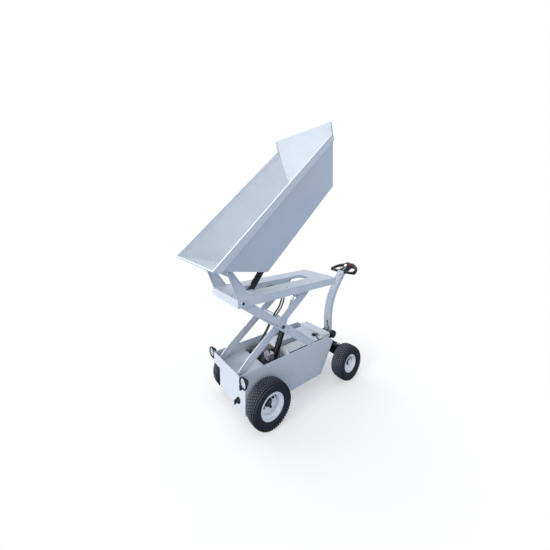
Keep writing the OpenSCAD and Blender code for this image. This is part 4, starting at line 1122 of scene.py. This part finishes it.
class CART_OT_handle(bpy.types.Operator):
    """Builds the handle with its two loops, control pod, thumb levers, switches and safety button"""
    bl_idname = "cart.handle"
    bl_label = "Handle"

    def loops(self):
        """The two loops, cut from one plate and rounded."""
        outer = [(0.020, 0.040), (0.008, 0.140), (-0.004, 0.164), (-0.024, 0.175), (-0.066, 0.175),
                 (-0.086, 0.168), (-0.135, 0.140), (-0.194, 0.068), (-0.209, 0.046)]
        hole = [(-0.012, 0.052), (-0.018, 0.128), (-0.024, 0.140), (-0.036, 0.146), (-0.058, 0.144),
                (-0.070, 0.139), (-0.106, 0.115), (-0.120, 0.094), (-0.125, 0.052)]
        flat = Matrix.Rotation(math.radians(90), 4, "X")
        thick = 0.017
        grip = plate("handle_loops", outer + [(x, -y) for x, y in reversed(outer)], thick, -thick, flat,
                     edge=0)
        cutters = [plate("cut", [(x, sign * y) for x, y in hole], 0.05, -0.05, flat, edge=0)
                   for sign in SIGNS]
        for cut in cutters:
            use(grip, "BOOLEAN", object=cut, operation="DIFFERENCE", solver="EXACT")
            bpy.data.objects.remove(cut)
        return use(grip, "BEVEL", width=0.0135, segments=5, limit_method="ANGLE",
                   angle_limit=math.radians(50), miter_outer="MITER_ARC")

    def ribs(self):
        """Nine ribs round each grip."""
        made = []
        for sign in SIGNS:
            near, far = sorted((sign * 0.1470, sign * 0.1755))
            for k in range(9):
                x0, x1 = -0.0477 + 0.0055 * k, -0.0453 + 0.0055 * k
                made.append(plate("grip_rib", [(x0, -0.0172), (x0, 0.0172), (x1, 0.0172), (x1, -0.0172)],
                                  near, far, edge=0.0011))
        return made

    def pod(self):
        """The control pod between the loops, drawn in towards its ends."""
        clear_selection()
        bpy.ops.mesh.primitive_cube_add(size=1, location=(-0.0845, 0, -0.004), scale=(0.209, 0.090, 0.052))
        pod = open_new("pod")
        bpy.ops.mesh.subdivide(number_cuts=2)
        pick(pod, "FACE", lambda co, no: no.z > 0.9)
        bpy.ops.transform.resize(value=(1, 0.86, 1))
        pick(pod, "VERT", lambda co, no: co.x < -0.18)
        bpy.ops.transform.resize(value=(1, 0.88, 0.66))
        pick(pod, "VERT", lambda co, no: co.x > 0.015)
        bpy.ops.transform.resize(value=(1, 0.96, 0.86))
        clear_selection()
        return use(pod, "BEVEL", width=0.009, segments=4, limit_method="ANGLE", angle_limit=math.radians(35))

    def execute(self, context):
        grip, ribs, pod = self.loops(), self.ribs(), self.pod()
        hood = plate("hood", [(-0.070, 0.010), (-0.070, 0.022), (-0.115, 0.0515), (-0.157, 0.0515),
                              (-0.167, 0.040), (-0.167, 0.010)], -0.024, 0.024, edge=0.0045, segments=3)
        collars = [lathe("collar", [(0.0216, 0), (0.0245, 0), (0.0245, 0.0016), (0.0232, 0.0026),
                                    (0.0216, 0.0026)],
                         on_side(sign, CONSOLE.x, 0.0238, CONSOLE.z)) for sign in SIGNS]
        body = settle(join("handle_body", [grip, pod, hood] + collars + ribs), IN_HANDLE)
        dress(body, "tiller", "black_plastic", angle=40)
        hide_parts("handle_head")

        levers = []
        for sign in SIGNS:
            near, far = sorted((sign * 0.0465, sign * 0.0535))
            levers.append(plate("lever", [(-0.074, -0.004), (-0.070, 0.010), (-0.056, 0.019), (-0.040, 0.018),
                                          (-0.030, 0.008), (-0.034, -0.006), (-0.048, -0.012),
                                          (-0.064, -0.012)], near, far, edge=0.0028, segments=3))
            levers.append(lathe("lever_hub", [(0, 0), (0.011, 0), (0.012, 0.002), (0.012, 0.012),
                                              (0.010, 0.0135), (0, 0.0135)],
                                on_side(sign, -0.052, 0.0425, 0.002), steps=28))
        dress(settle(join("thumb_levers", levers), IN_HANDLE), "tiller", "black_plastic")

        keys = []
        for sign in SIGNS:
            y = sign * 0.020
            keys.append(block("rocker", (-0.060, y - 0.008, 0.0215), (-0.034, y + 0.008, 0.0285), edge=0.0022,
                              segments=3))
            keys.append(lathe("horn", [(0, 0), (0.0085, 0), (0.0085, 0.003), (0.006, 0.0052), (0, 0.006)],
                              Matrix.Translation((-0.014, sign * 0.022, 0.0212)), steps=28))
        keys.append(plate("panel", [(-0.0790, 0.0265), (-0.0775, 0.0295), (-0.1085, 0.0498),
                                    (-0.1100, 0.0468)], -0.017, 0.017, edge=0.0008))
        dress(settle(join("handle_keys", keys), IN_HANDLE), "tiller", "valve")

        low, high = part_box("handle_button")
        half, r = (high.y - low.y) / 2, 0.021
        end = [(0, half), (r * 0.70, half), (r * 0.88, half - 0.0012), (r * 0.97, half - 0.0040),
               (r, half - 0.0080)]
        knob = lathe("safety_button", [(q, -h) for q, h in end] + [(q, h) for q, h in reversed(end)],
                     toward((0, 1, 0), BUTTON), steps=56)
        dress(knob, "tiller", "red_button", angle=50)
        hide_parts("handle_button")
        return {"FINISHED"}


class CART_OT_scissor(bpy.types.Operator):
    """Adds pin heads, spacers, weld beads and roller faces to the scissor"""
    bl_idname = "cart.scissor"
    bl_label = "Scissor"

    def inner(self):
        """Pin heads and spacers at the crossing, and the welds of the inner arms' cross tubes."""
        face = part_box("inner_arms")[1].y
        cross_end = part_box("inner_cross_tubes")[1].y
        tube = 0.0205   # radius of the weld round a cross tube
        heads, spacers, welds = [], [], []
        for sign in SIGNS:
            heads.append(pin_head("cross_head", 0.0185, 0.0042, on_side(sign, CROSS.x, cross_end, CROSS.z)))
            heads.append(pin_head("lower_head", 0.0165, 0.006, on_side(sign, LOWER.x, 0.1845, LOWER.z)))
            spacers.append(lathe("spacer", [(0.0131, 0), (0.021, 0), (0.021, 0.004), (0.0185, 0.006),
                                            (0.0185, 0.038), (0.021, 0.040), (0.021, 0.0445),
                                            (0.0131, 0.0445)],
                                 on_side(sign, CROSS.x, face + 0.0003, CROSS.z)))
            for along, drop in ((0.905, 0), (0.618, -0.035)):
                spot = ALONG_INNER @ Vector((-along, 0, drop))
                for radius, y, thick in ((tube, face - 0.0126, 0.0030), (tube * 0.9, face, 0.0014)):
                    welds.append(ring_weld("tube_weld", radius,
                                           toward((0, 1, 0), (spot.x, sign * y, spot.z)), thick))
        dress(join("scissor_pin_heads", heads), "inner_arms", "drive")
        dress(join("scissor_spacers", spacers), "inner_arms", "grey_paint")
        dress(join("inner_arm_welds", welds), "inner_arms", "grey_paint")

    def outer(self):
        """Roller faces, screws and the cross bar's welds on the outer arms."""
        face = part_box("outer_arms")[1].y
        back = middle("lower_rollers").x
        rollers, places, welds = [], [], []
        for sign in SIGNS:
            rollers.append(lathe("roller_face", [(0.0126, 0), (0.017, 0), (0.017, 0.0016), (0.022, 0.0016),
                                                 (0.0225, 0.0006), (0.0268, 0.0006), (0.0275, -0.0006),
                                                 (0.0126, -0.0006)],
                                 toward((0, -sign, 0), (back, sign * 0.190, LOWER.z))))
            for x, z in ((-0.485, 0.016), (-0.470, -0.018), (-0.610, 0.016), (-0.625, -0.018)):
                spot = ALONG_OUTER @ Vector((x, 0, z))
                places.append(on_side(sign, spot.x, face, spot.z))
            for x in (-1.015, -1.055):
                spot = ALONG_OUTER @ Vector((x, 0, 0.030))
                welds.append(weld_line("bar_weld", [(spot.x, sign * y, spot.z) for y in (0.2135, 0.2265)],
                                       0.0018))
        screws = copies(socket_screw("arm_screw", 0.011, 0.0032), places)
        dress(join("outer_arm_parts", rollers + screws), "outer_arms", "roller")
        dress(join("outer_bar_welds", welds), "outer_arms", "grey_paint")

    def execute(self, context):
        self.inner()
        self.outer()
        return {"FINISHED"}


class CART_OT_table(bpy.types.Operator):
    """Adds pin caps, weld beads and screws to the table and its posts"""
    bl_idname = "cart.table"
    bl_label = "Table"

    def execute(self, context):
        low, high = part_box("table_plate")
        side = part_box("table_frame")[1].y
        dump = pin("dump")
        edge = DECK - 0.0052
        caps, bosses, welds, places = [], [], [], []
        for sign in SIGNS:
            caps.append(pin_head("table_cap", 0.0125, 0.0065, on_side(sign, UPPER.x, side, UPPER.z)))
            bosses.append(lathe("cap_plate", [(0.0128, 0), (0.022, 0), (0.022, 0.0022), (0.0210, 0.0030),
                                              (0.0128, 0.0030)], on_side(sign, UPPER.x, high.y, UPPER.z)))
            bosses.append(lathe("pivot_boss", [(0.0133, 0), (0.0250, 0), (0.0250, 0.0010), (0.0235, 0.0022),
                                               (0.0133, 0.0022)], on_side(sign, dump.x, 0.2230, dump.z)))
            for y in (0.2125, 0.2235):
                welds.append(weld_line("post_weld", [at(x, sign * y, DECK) for x in (0.050, 0.247)], 0.0030))
            y = sign * (high.y - 0.0002)
            welds.append(weld_line("edge_weld", [(low.x + 0.004, y, edge), (high.x - 0.004, y, edge)],
                                   0.0012))
            for x, y in ((0.235, 0.110), (-0.965, 0.110), (-0.30, 0.205), (-0.62, 0.205), (-0.93, 0.205)):
                places.append(Matrix.Translation(at(x, sign * y, DECK)))
        dress(join("table_pin_caps", caps), "table", "drive")
        dress(join("table_pin_bosses", bosses), "table", "grey_paint")
        dress(join("table_welds", welds), "table", "grey_paint")
        screws = copies(socket_screw("table_screw", 0.013, 0.0026), places)
        dress(join("table_screws", screws), "table", "roller")
        return {"FINISHED"}


class CART_OT_bucket(bpy.types.Operator):
    """Adds weld beads, hems and pin ends to the bucket"""
    bl_idname = "cart.bucket"
    bl_label = "Bucket"

    # Drawn level, from the pivot: ends, rim, foot of the rim's upright band, and floor
    lip_x, rear_x = 0.108, 0.108 - 1.665
    rim_z, band_z, floor_z = 0.215, 0.215 - 0.065, -0.215
    slope_foot = 0.108 - 0.322
    rake = math.radians(28)                                # lean of the rear wall
    rear_foot = rear_x + (rim_z - floor_z) * math.tan(rake)
    inside, floor_half = 0.381, 0.304                      # half widths inside the band and at the floor
    rear_plate = 0.107                                     # how far the rear plate stands over the rim

    def half_width(self, z):
        """Half width of the hopper's inside at a height."""
        share = min(1, (z - self.floor_z) / (self.band_z - self.floor_z))
        return self.floor_half + (self.inside - self.floor_half) * share

    def inner_welds(self, sign):
        """Beads along one side's foot, slope and rear corner."""
        def corner(x, z):
            return x, sign * self.half_width(z), z

        low_z = self.floor_z + 0.004
        rear = self.rear_x + 0.005
        front_foot, rear_foot = corner(self.slope_foot - 0.004, low_z), corner(self.rear_foot + 0.005, low_z)
        return [[front_foot, rear_foot],
                [corner(self.lip_x - 0.010, self.rim_z - 0.006), corner(self.lip_x - 0.053, self.band_z),
                 front_foot],
                [corner(rear, self.rim_z - 0.004),
                 corner(rear + (self.rim_z - self.band_z) * math.tan(self.rake), self.band_z), rear_foot]]

    def roll(self, name, a, b, radius):
        """A round hem from one point to another."""
        a, b = Vector(a), Vector(b)
        return sweep(name, [a + (b - a) * k / 12 for k in range(13)], radius, detail=2)

    def execute(self, context):
        beads = [weld_line("inner_weld", line, 0.0030) for sign in SIGNS for line in self.inner_welds(sign)]
        under = self.floor_z - 0.0006
        for sign in SIGNS:
            for y in (0.0275, 0.0360):
                beads.append(weld_line("cheek_weld", [(x, sign * y, under) for x in (-0.944, -1.003)],
                                       0.0024))
        dress(settle(join("bucket_welds", beads), IN_BUCKET), "bucket", "grey_paint")

        hem_z = self.rim_z - 0.0565
        hem_rear = self.rear_x + 0.058 * math.tan(self.rake) + 0.004
        hems = [self.roll("hem", (hem_rear, sign * 0.3975, hem_z),
                          (self.lip_x - 0.026, sign * 0.3975, hem_z), 0.0024)
                for sign in SIGNS]
        plate_x = self.rear_x - self.rear_plate * math.sin(self.rake) + 0.0028
        plate_z = self.rim_z + self.rear_plate * math.cos(self.rake) - 0.0032
        rolls = (("lip_roll", self.lip_x + 0.0005, 0.397, self.rim_z - 0.0165, 0.0036),
                 ("plate_roll", plate_x, 0.396, plate_z, 0.0030))
        for name, x, half, z, radius in rolls:
            hems.append(self.roll(name, (x, -half, z), (x, half, z), radius))
        dress(settle(join("bucket_hems", hems), IN_BUCKET), "bucket", "grey_paint")

        pivot = pin("dump")
        eye = IN_BUCKET @ Vector((-0.946, 0, -0.268))
        ends = [pin_head("pivot_head", 0.0165, 0.0062, on_side(sign, pivot.x, 0.2280, pivot.z))
                for sign in SIGNS]
        ends += [pin_head("rod_pin_head", 0.0145, 0.0055, on_side(sign, eye.x, 0.0420, eye.z))
                 for sign in SIGNS]
        dress(join("bucket_pin_heads", ends), "bucket", "grey_paint")
        return {"FINISHED"}


class CART_OT_cylinders(bpy.types.Operator):
    """Adds gland nuts, ports, steel pipes and weld rings to both cylinders"""
    bl_idname = "cart.cylinders"
    bl_label = "Cylinders"

    rod = 0.016                                                   # radius of both rods
    barrels = {"lift": (0.490, 0.028), "dump": (0.540, 0.026)}    # length from the eye, and radius

    def execute(self, context):
        rod = self.rod
        for name, (length, r) in self.barrels.items():
            line = along_barrel(name)
            gland = lathe("gland", [(rod + 0.0006, length - 0.004), (r - 0.0065, length - 0.004),
                                    (r - 0.0065, length + 0.0004), (r + 0.0018, length + 0.0004),
                                    (r + 0.0026, length + 0.0016), (r + 0.0026, length + 0.0100),
                                    (r + 0.0010, length + 0.0120), (rod + 0.0040, length + 0.0120),
                                    (rod + 0.0030, length + 0.0150), (rod + 0.0006, length + 0.0150)], line,
                          steps=48)
            sleeve = lathe("sleeve", [(r - 0.0005, length - 0.038), (r + 0.0022, length - 0.036),
                                      (r + 0.0030, length - 0.034), (r + 0.0030, length - 0.003),
                                      (r - 0.0005, length - 0.002)], line, steps=48)
            foot = ring_weld("foot_weld", r - 0.0002, line @ Matrix.Translation((0, 0, 0.034)), 0.0012)
            ports = [lathe("port", [(0, 0), (0.0115, 0), (0.0115, 0.006), (0.0095, 0.0075), (0.0095, 0.011),
                                    (0, 0.011)], line @ toward((1, 0, 0), (r - 0.0020, 0, h)), steps=24)
                     for h in (0.052, length - 0.020)]
            pipe = sweep("pipe", flowing([(r + 0.004, 0, length - 0.020), (r + 0.0105, 0, length - 0.024),
                                          (r + 0.0115, 0, length - 0.050), (r + 0.0100, 0, length - 0.16),
                                          (r + 0.0100, 0, 0.20), (r + 0.0100, 0, 0.085)]), 0.0046)
            settle(pipe, line)
            clips = [block("clip", (r - 0.003, -0.0085, h - 0.006), (r + 0.0152, 0.0085, h + 0.006),
                           matrix=line)
                     for h in (0.12, length - 0.13)]
            dress(join(f"{name}_cylinder_parts", [gland, sleeve, foot, pipe] + ports + clips),
                  f"{name}_barrel", "black_paint")
        return {"FINISHED"}


class CART_OT_hoses(bpy.types.Operator):
    """Lays the hydraulic hoses from the valve to both cylinders, and the control cables"""
    bl_idname = "cart.hoses"
    bl_label = "Hoses and cables"

    joint = Vector((0.180, 0.052, 1.092))   # where the hoses come up into the table's slot
    port = 0.052                            # how far the oil ports lie up the barrels

    def ferrule(self, thick, place):
        """A crimped hose end, with its flats where the hose leaves it."""
        r = thick / 2
        return lathe("ferrule", [(0, 0), (r + 0.0010, 0), (r + 0.0016, 0.002), (r + 0.0016, 0.020),
                                 (r + 0.0008, 0.0225), (r - 0.0005, 0.0225), (r - 0.0005, 0.024), (0, 0.024)],
                     place, steps=20)

    def wrap(self, line, thick):
        """A flat strip wound along a hose."""
        turns = []
        for a, b in zip(line, line[1:]):
            along = (b - a).normalized()
            side = along.cross(Vector((0, 1, 0))).normalized()
            for step in range(8):
                angle = math.radians(45 * step)
                out = side * math.cos(angle) + side.cross(along) * math.sin(angle)
                turns.append(a.lerp(b, step / 8) + out * (thick / 2 + 0.0006))
        return sweep("wrap", turns, 0.0022, detail=1)

    def held(self, piece, finish, first, second, start, end):
        """Smooths and paints a piece, and puts its place into its mesh."""
        only(piece)
        bpy.ops.object.shade_smooth_by_angle(angle=math.radians(40))
        painted(piece, finish)
        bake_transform(piece)

    def lay(self, name, points, thick, first, second, start, end):
        """A hose between two bodies."""
        self.held(sweep(name, flowing(points, 8), thick / 2), "black_plastic", first, second, start, end)

    def to_crossing(self, k, y, thick):
        """A hose from the valve to the crossing of the arms; gives back its end at the valve."""
        low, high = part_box("valve_block")
        out, up = ((-0.017, 0.020), (0.017, 0.042))[k]
        foot = Vector((high.x + 0.014, (low.y + high.y) / 2 + out, low.z + up))
        top = Vector((CROSS.x + 0.022, y, CROSS.z - 0.018))
        self.lay(f"lower_hose_{k + 1}",
                 [foot, foot + Vector((0.024, -0.004, 0.006)),
                  foot + Vector((0.040, -0.016, 0.040 - 0.01 * k)),
                  (0.456 + 0.012 * k, y + 0.002, 0.532), (0.442 + 0.016 * k, y, 0.578),
                  (0.405 + 0.016 * k, y, 0.642), (0.352 + 0.010 * k, y, 0.706), top],
                 thick, "chassis", "inner_arms", Vector((foot.x + 0.030, y, 0.456)),
                 top + Vector((0.02, 0, -0.01)))
        return self.ferrule(thick, toward((1, 0, 0.1), foot - Vector((0.006, 0, 0))))

    def to_table(self, k, y, thick):
        """A hose from the crossing up into the table's slot, the second with a strip wound on it."""
        foot = Vector((CROSS.x - 0.016, y, CROSS.z + 0.023))
        start = foot + Vector((-0.01, 0, 0.01))
        slack = 0.016 * k
        top = self.joint - Vector((0, 0, 0.014 * k))
        rise = [foot, (0.252 - slack, y, 0.842), (0.200 - slack, y, 0.895), (0.170 - slack, y, 0.960),
                (0.166 - slack * 0.5, y, 1.030)]
        self.lay(f"upper_hose_{k + 1}", rise + [top], thick, "outer_arms", "table", start, top)
        if k:
            strip = self.wrap(flowing(rise, 5)[2:], thick)
            self.held(strip, "grey_paint", "outer_arms", "table", start, top)

    def in_slot(self, thick):
        """The arch of hose in the table's slot, from its joint to the dump cylinder's banjo."""
        line = along_barrel("dump")
        eye = line @ Vector((0, 0.052, self.port))
        arch = [Vector(spot) for spot in ((0.178, 0.052, 1.092), (0.210, 0.053, 1.108), (0.255, 0.056, 1.124),
                                          (0.310, 0.058, 1.131), (0.365, 0.058, 1.129), (0.412, 0.056, 1.118),
                                          (0.455, 0.053, 1.110), eye)]
        self.lay("slot_hose", arch, thick, "table", "dump_barrel", arch[4], eye - Vector((0.012, 0, 0.006)))
        joint = lathe("hose_joint", [(0, -0.018), (0.0110, -0.018), (0.0115, -0.016), (0.0115, 0.016),
                                     (0.0110, 0.018), (0, 0.018)],
                      toward((0.62, 0, 0.5), self.joint + Vector((0.006, 0, 0.004))), steps=6)
        bracket = block("hose_bracket", (0.172, 0.052, 1.078), (0.200, 0.0745, 1.104), edge=0.001)
        dress(join("slot_hose_joint", [joint, bracket]), "table", "drive")
        banjo = lathe("banjo", [(0, 0.0240), (0.0125, 0.0240), (0.0130, 0.0250), (0.0130, 0.0600),
                                (0.0120, 0.0612), (0.0085, 0.0612), (0.0085, 0.0655), (0, 0.0655)],
                      line @ toward((0, 1, 0), (0, 0, self.port)), steps=28)
        dress(banjo, "dump_barrel", "drive")

    def to_lift(self, thick):
        """The hose from the valve down to the lift cylinder's port."""
        low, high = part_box("valve_block")
        boss = along_barrel("lift") @ Vector((0.037, 0, self.port))
        foot = Vector((low.x - 0.008, (low.y + high.y) / 2, low.z + 0.030))
        self.lay("lift_hose",
                 [foot, foot + Vector((-0.030, -0.004, 0.004)), foot + Vector((-0.044, -0.018, -0.040)),
                  (boss.x + 0.030, 0.044, 0.360), (boss.x + 0.034, 0.020, 0.290), boss],
                 thick, "chassis", "lift_barrel", foot + Vector((-0.04, -0.01, -0.03)),
                 boss + Vector((0.012, 0, 0.012)))

    def cables(self, thick):
        """The limit switch's cable over the lid's edge, and the tiller's loop with its gland."""
        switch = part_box("limit_switch")[1]
        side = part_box("battery_cover")[1].y
        r = thick / 2
        x, top = switch.x + 0.012, COVER + r
        line = [(switch.x - 0.012, switch.y - 0.002, COVER + 0.010), (switch.x - 0.012, 0.112, COVER + 0.009),
                (switch.x - 0.010, 0.130, top), (switch.x + 0.004, 0.150, top),
                (switch.x + 0.010, side - 0.006, top),
                (x, side + 0.0075, COVER - 0.006), (x, side + r, COVER - 0.030), (x, side + r, COVER - 0.075),
                (x, side - 0.004, COVER - 0.092)]
        dress(sweep("switch_cable", flowing(line, 6), r, detail=2), "chassis", "black_plastic", angle=40)

        face = pin("tiller_tilt").x + 0.025
        out = face + r
        line = [(face - 0.004, 0.012, 0.528), (face + 0.008, 0.013, 0.524), (out + 0.001, 0.016, 0.500),
                (out, 0.026, 0.470), (out, 0.030, 0.444), (out, 0.026, 0.424), (out, 0.010, 0.414),
                (out, -0.014, 0.414), (out, -0.030, 0.416), (face - 0.004, -0.034, 0.416)]
        dress(sweep("tiller_cable", flowing(line, 6), r * 0.9, detail=2), "tiller", "black_plastic", angle=40)
        dress(lathe("cable_gland", [(0, 0), (0.0095, 0), (0.0095, 0.005), (0.0070, 0.007), (0.0065, 0.013),
                                    (0, 0.014)], toward((1, 0, 0.25), (face - 0.001, 0.012, 0.530)),
                    steps=24), "tiller", "black_plastic")

    def execute(self, context):
        sizes = context.scene.cart_hoses
        ends = []
        for k, y in enumerate((0.040, 0.060)):
            ends.append(self.to_crossing(k, y, sizes.hose))
            self.to_table(k, y, sizes.hose)
        dress(join("valve_hose_ends", ends), "chassis", "roller")
        collar = lathe("hose_collar", [(0.0135, 0), (0.0270, 0), (0.0285, 0.0015), (0.0285, 0.0565),
                                       (0.0270, 0.058), (0.0135, 0.058)],
                       toward((0, 1, 0), (CROSS.x, 0.035, CROSS.z)), steps=40)
        dress(collar, "inner_arms", "black_plastic")
        self.in_slot(sizes.hose)
        self.to_lift(sizes.hose * 0.9)
        self.cables(sizes.cable)
        return {"FINISHED"}


class CART_OT_stage(bpy.types.Operator):
    """Sets up the pale floor, the soft studio light and the camera"""
    bl_idname = "cart.stage"
    bl_label = "Stage"

    # Name, share of the key light's strength, spread in degrees, colour, and the way back to the light
    suns = (("key", 1.0, 24, (1.0, 0.94, 0.86), (0.88, 0.06, 0.31)),
            ("fill", 0.10, 30, (0.95, 0.98, 1.0), (1.0, 0.10, 0.08)),
            ("far_side", 0.36, 40, (0.90, 0.96, 1.0), (0.20, -0.72, 0.60)))

    def floor(self, bounce):
        """A floor that is white to the camera far out, and sends its own colour back up."""
        clear_selection()
        bpy.ops.mesh.primitive_circle_add(vertices=64, radius=30, fill_type="NGON", location=(0, 0, 0))
        floor = open_new("floor")
        clear_selection()
        paint = Finish("studio_floor", bounce, 0.9, Specular_IOR_Level=0.0)
        seen = paint.add("LightPath").outputs["Is Camera Ray"]
        paint.give(Base_Color=paint.mixed(seen, bounce, paint.grey(paint.noise(2.0), 0.945, 0.955, 0.3, 0.7)))
        far = paint.add("VectorMath", {0: paint.place}, operation="LENGTH").outputs["Value"]
        fade = paint.add("MapRange", {"Value": far, "From Min": 0.6, "From Max": 1.9, "To Min": 0.45},
                         interpolation_type="SMOOTHSTEP").outputs["Result"]
        white = paint.add("Emission", {"Color": (1, 1, 1)}).outputs["Emission"]
        paint.blend(paint.maths("MULTIPLY", fade, seen), paint.shader.outputs["BSDF"], white,
                    "Material Output")
        painted(floor, "studio_floor")

    def world(self, scene, colour):
        """Even light from all round, white to straight, clear and mirrored rays."""
        world = bpy.data.worlds.new("studio")
        scene.world = world
        air = Graph(world)
        sky = air.nodes["Background"]
        air.feed(sky.inputs["Color"], colour)
        backdrop = air.add("Background", {"Color": (1, 1, 1)})
        rays = air.add("LightPath").outputs
        clear = air.maths("MAXIMUM", rays["Is Camera Ray"], rays["Is Transmission Ray"])
        air.blend(air.maths("MAXIMUM", clear, rays["Is Glossy Ray"]), sky.outputs["Background"],
                  backdrop.outputs["Background"], "World Output")

    def execute(self, context):
        settings = context.scene.cart_stage
        self.floor(tuple(settings.bounce))
        self.world(context.scene, tuple(settings.sky))
        for name, share, spread, colour, direction in self.suns:
            light = bpy.data.lights.new(name, "SUN")
            light.energy = settings.key * share
            light.angle = math.radians(spread)
            light.color = colour
            lamp = bpy.data.objects.new(name, light)
            context.scene.collection.objects.link(lamp)
            lamp.rotation_euler = Vector(direction).to_track_quat("Z", "Y").to_euler()
        lens = bpy.data.cameras.new("camera")
        lens.lens = 16.44
        lens.sensor_width = 36
        lens.shift_x = 0.0104
        lens.shift_y = -0.0767
        lens.clip_end = 200
        eye = bpy.data.objects.new("camera", lens)
        context.scene.collection.objects.link(eye)
        eye.location = (1.7742, 1.95, 1.8274)
        eye.rotation_euler = (math.radians(85.716), 0, math.radians(142.76))
        context.scene.camera = eye
        context.scene.view_settings.view_transform = "Standard"
        return {"FINISHED"}


STEPS = (CART_OT_stage, CART_OT_finishes, CART_OT_tyres, CART_OT_hubs, CART_OT_lamps, CART_OT_power_unit,
         CART_OT_chassis_trim, CART_OT_steering, CART_OT_tiller, CART_OT_handle, CART_OT_scissor,
         CART_OT_table, CART_OT_bucket, CART_OT_cylinders, CART_OT_hoses, CART_OT_edges)
SETTINGS = (("cart_tyres", CartTyres), ("cart_paint", CartPaint), ("cart_fasteners", CartFasteners),
            ("cart_hoses", CartHoses), ("cart_stage", CartStage))


class CART_PT_panel(bpy.types.Panel):
    """Lists the cart's sizes, colours and steps"""
    bl_idname = "CART_PT_panel"
    bl_label = "Dump cart"
    bl_space_type = "VIEW_3D"
    bl_region_type = "UI"
    bl_category = "Dump cart"

    def draw(self, context):
        layout = self.layout
        for name, group in SETTINGS:
            box = layout.box()
            box.label(text=group.__doc__)
            for key in group.__annotations__:
                box.prop(getattr(context.scene, name), key)
        for step in STEPS:
            layout.operator(step.bl_idname)


def register():
    for _, group in SETTINGS:
        bpy.utils.register_class(group)
    for name, group in SETTINGS:
        setattr(bpy.types.Scene, name, PointerProperty(type=group))
    for step in STEPS:
        bpy.utils.register_class(step)
    bpy.utils.register_class(CART_PT_panel)


def unregister():
    bpy.utils.unregister_class(CART_PT_panel)
    for step in reversed(STEPS):
        bpy.utils.unregister_class(step)
    for name, group in reversed(SETTINGS):
        delattr(bpy.types.Scene, name)
        bpy.utils.unregister_class(group)


def main():
    """Makes the cart, one step after another."""
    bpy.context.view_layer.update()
    register()
    for step in STEPS:
        family, action = step.bl_idname.split(".")
        if getattr(getattr(bpy.ops, family), action)() != {"FINISHED"}:
            raise RuntimeError(step.bl_label + " did not finish")
    clear_selection()


if __name__ == "__main__":
    main()
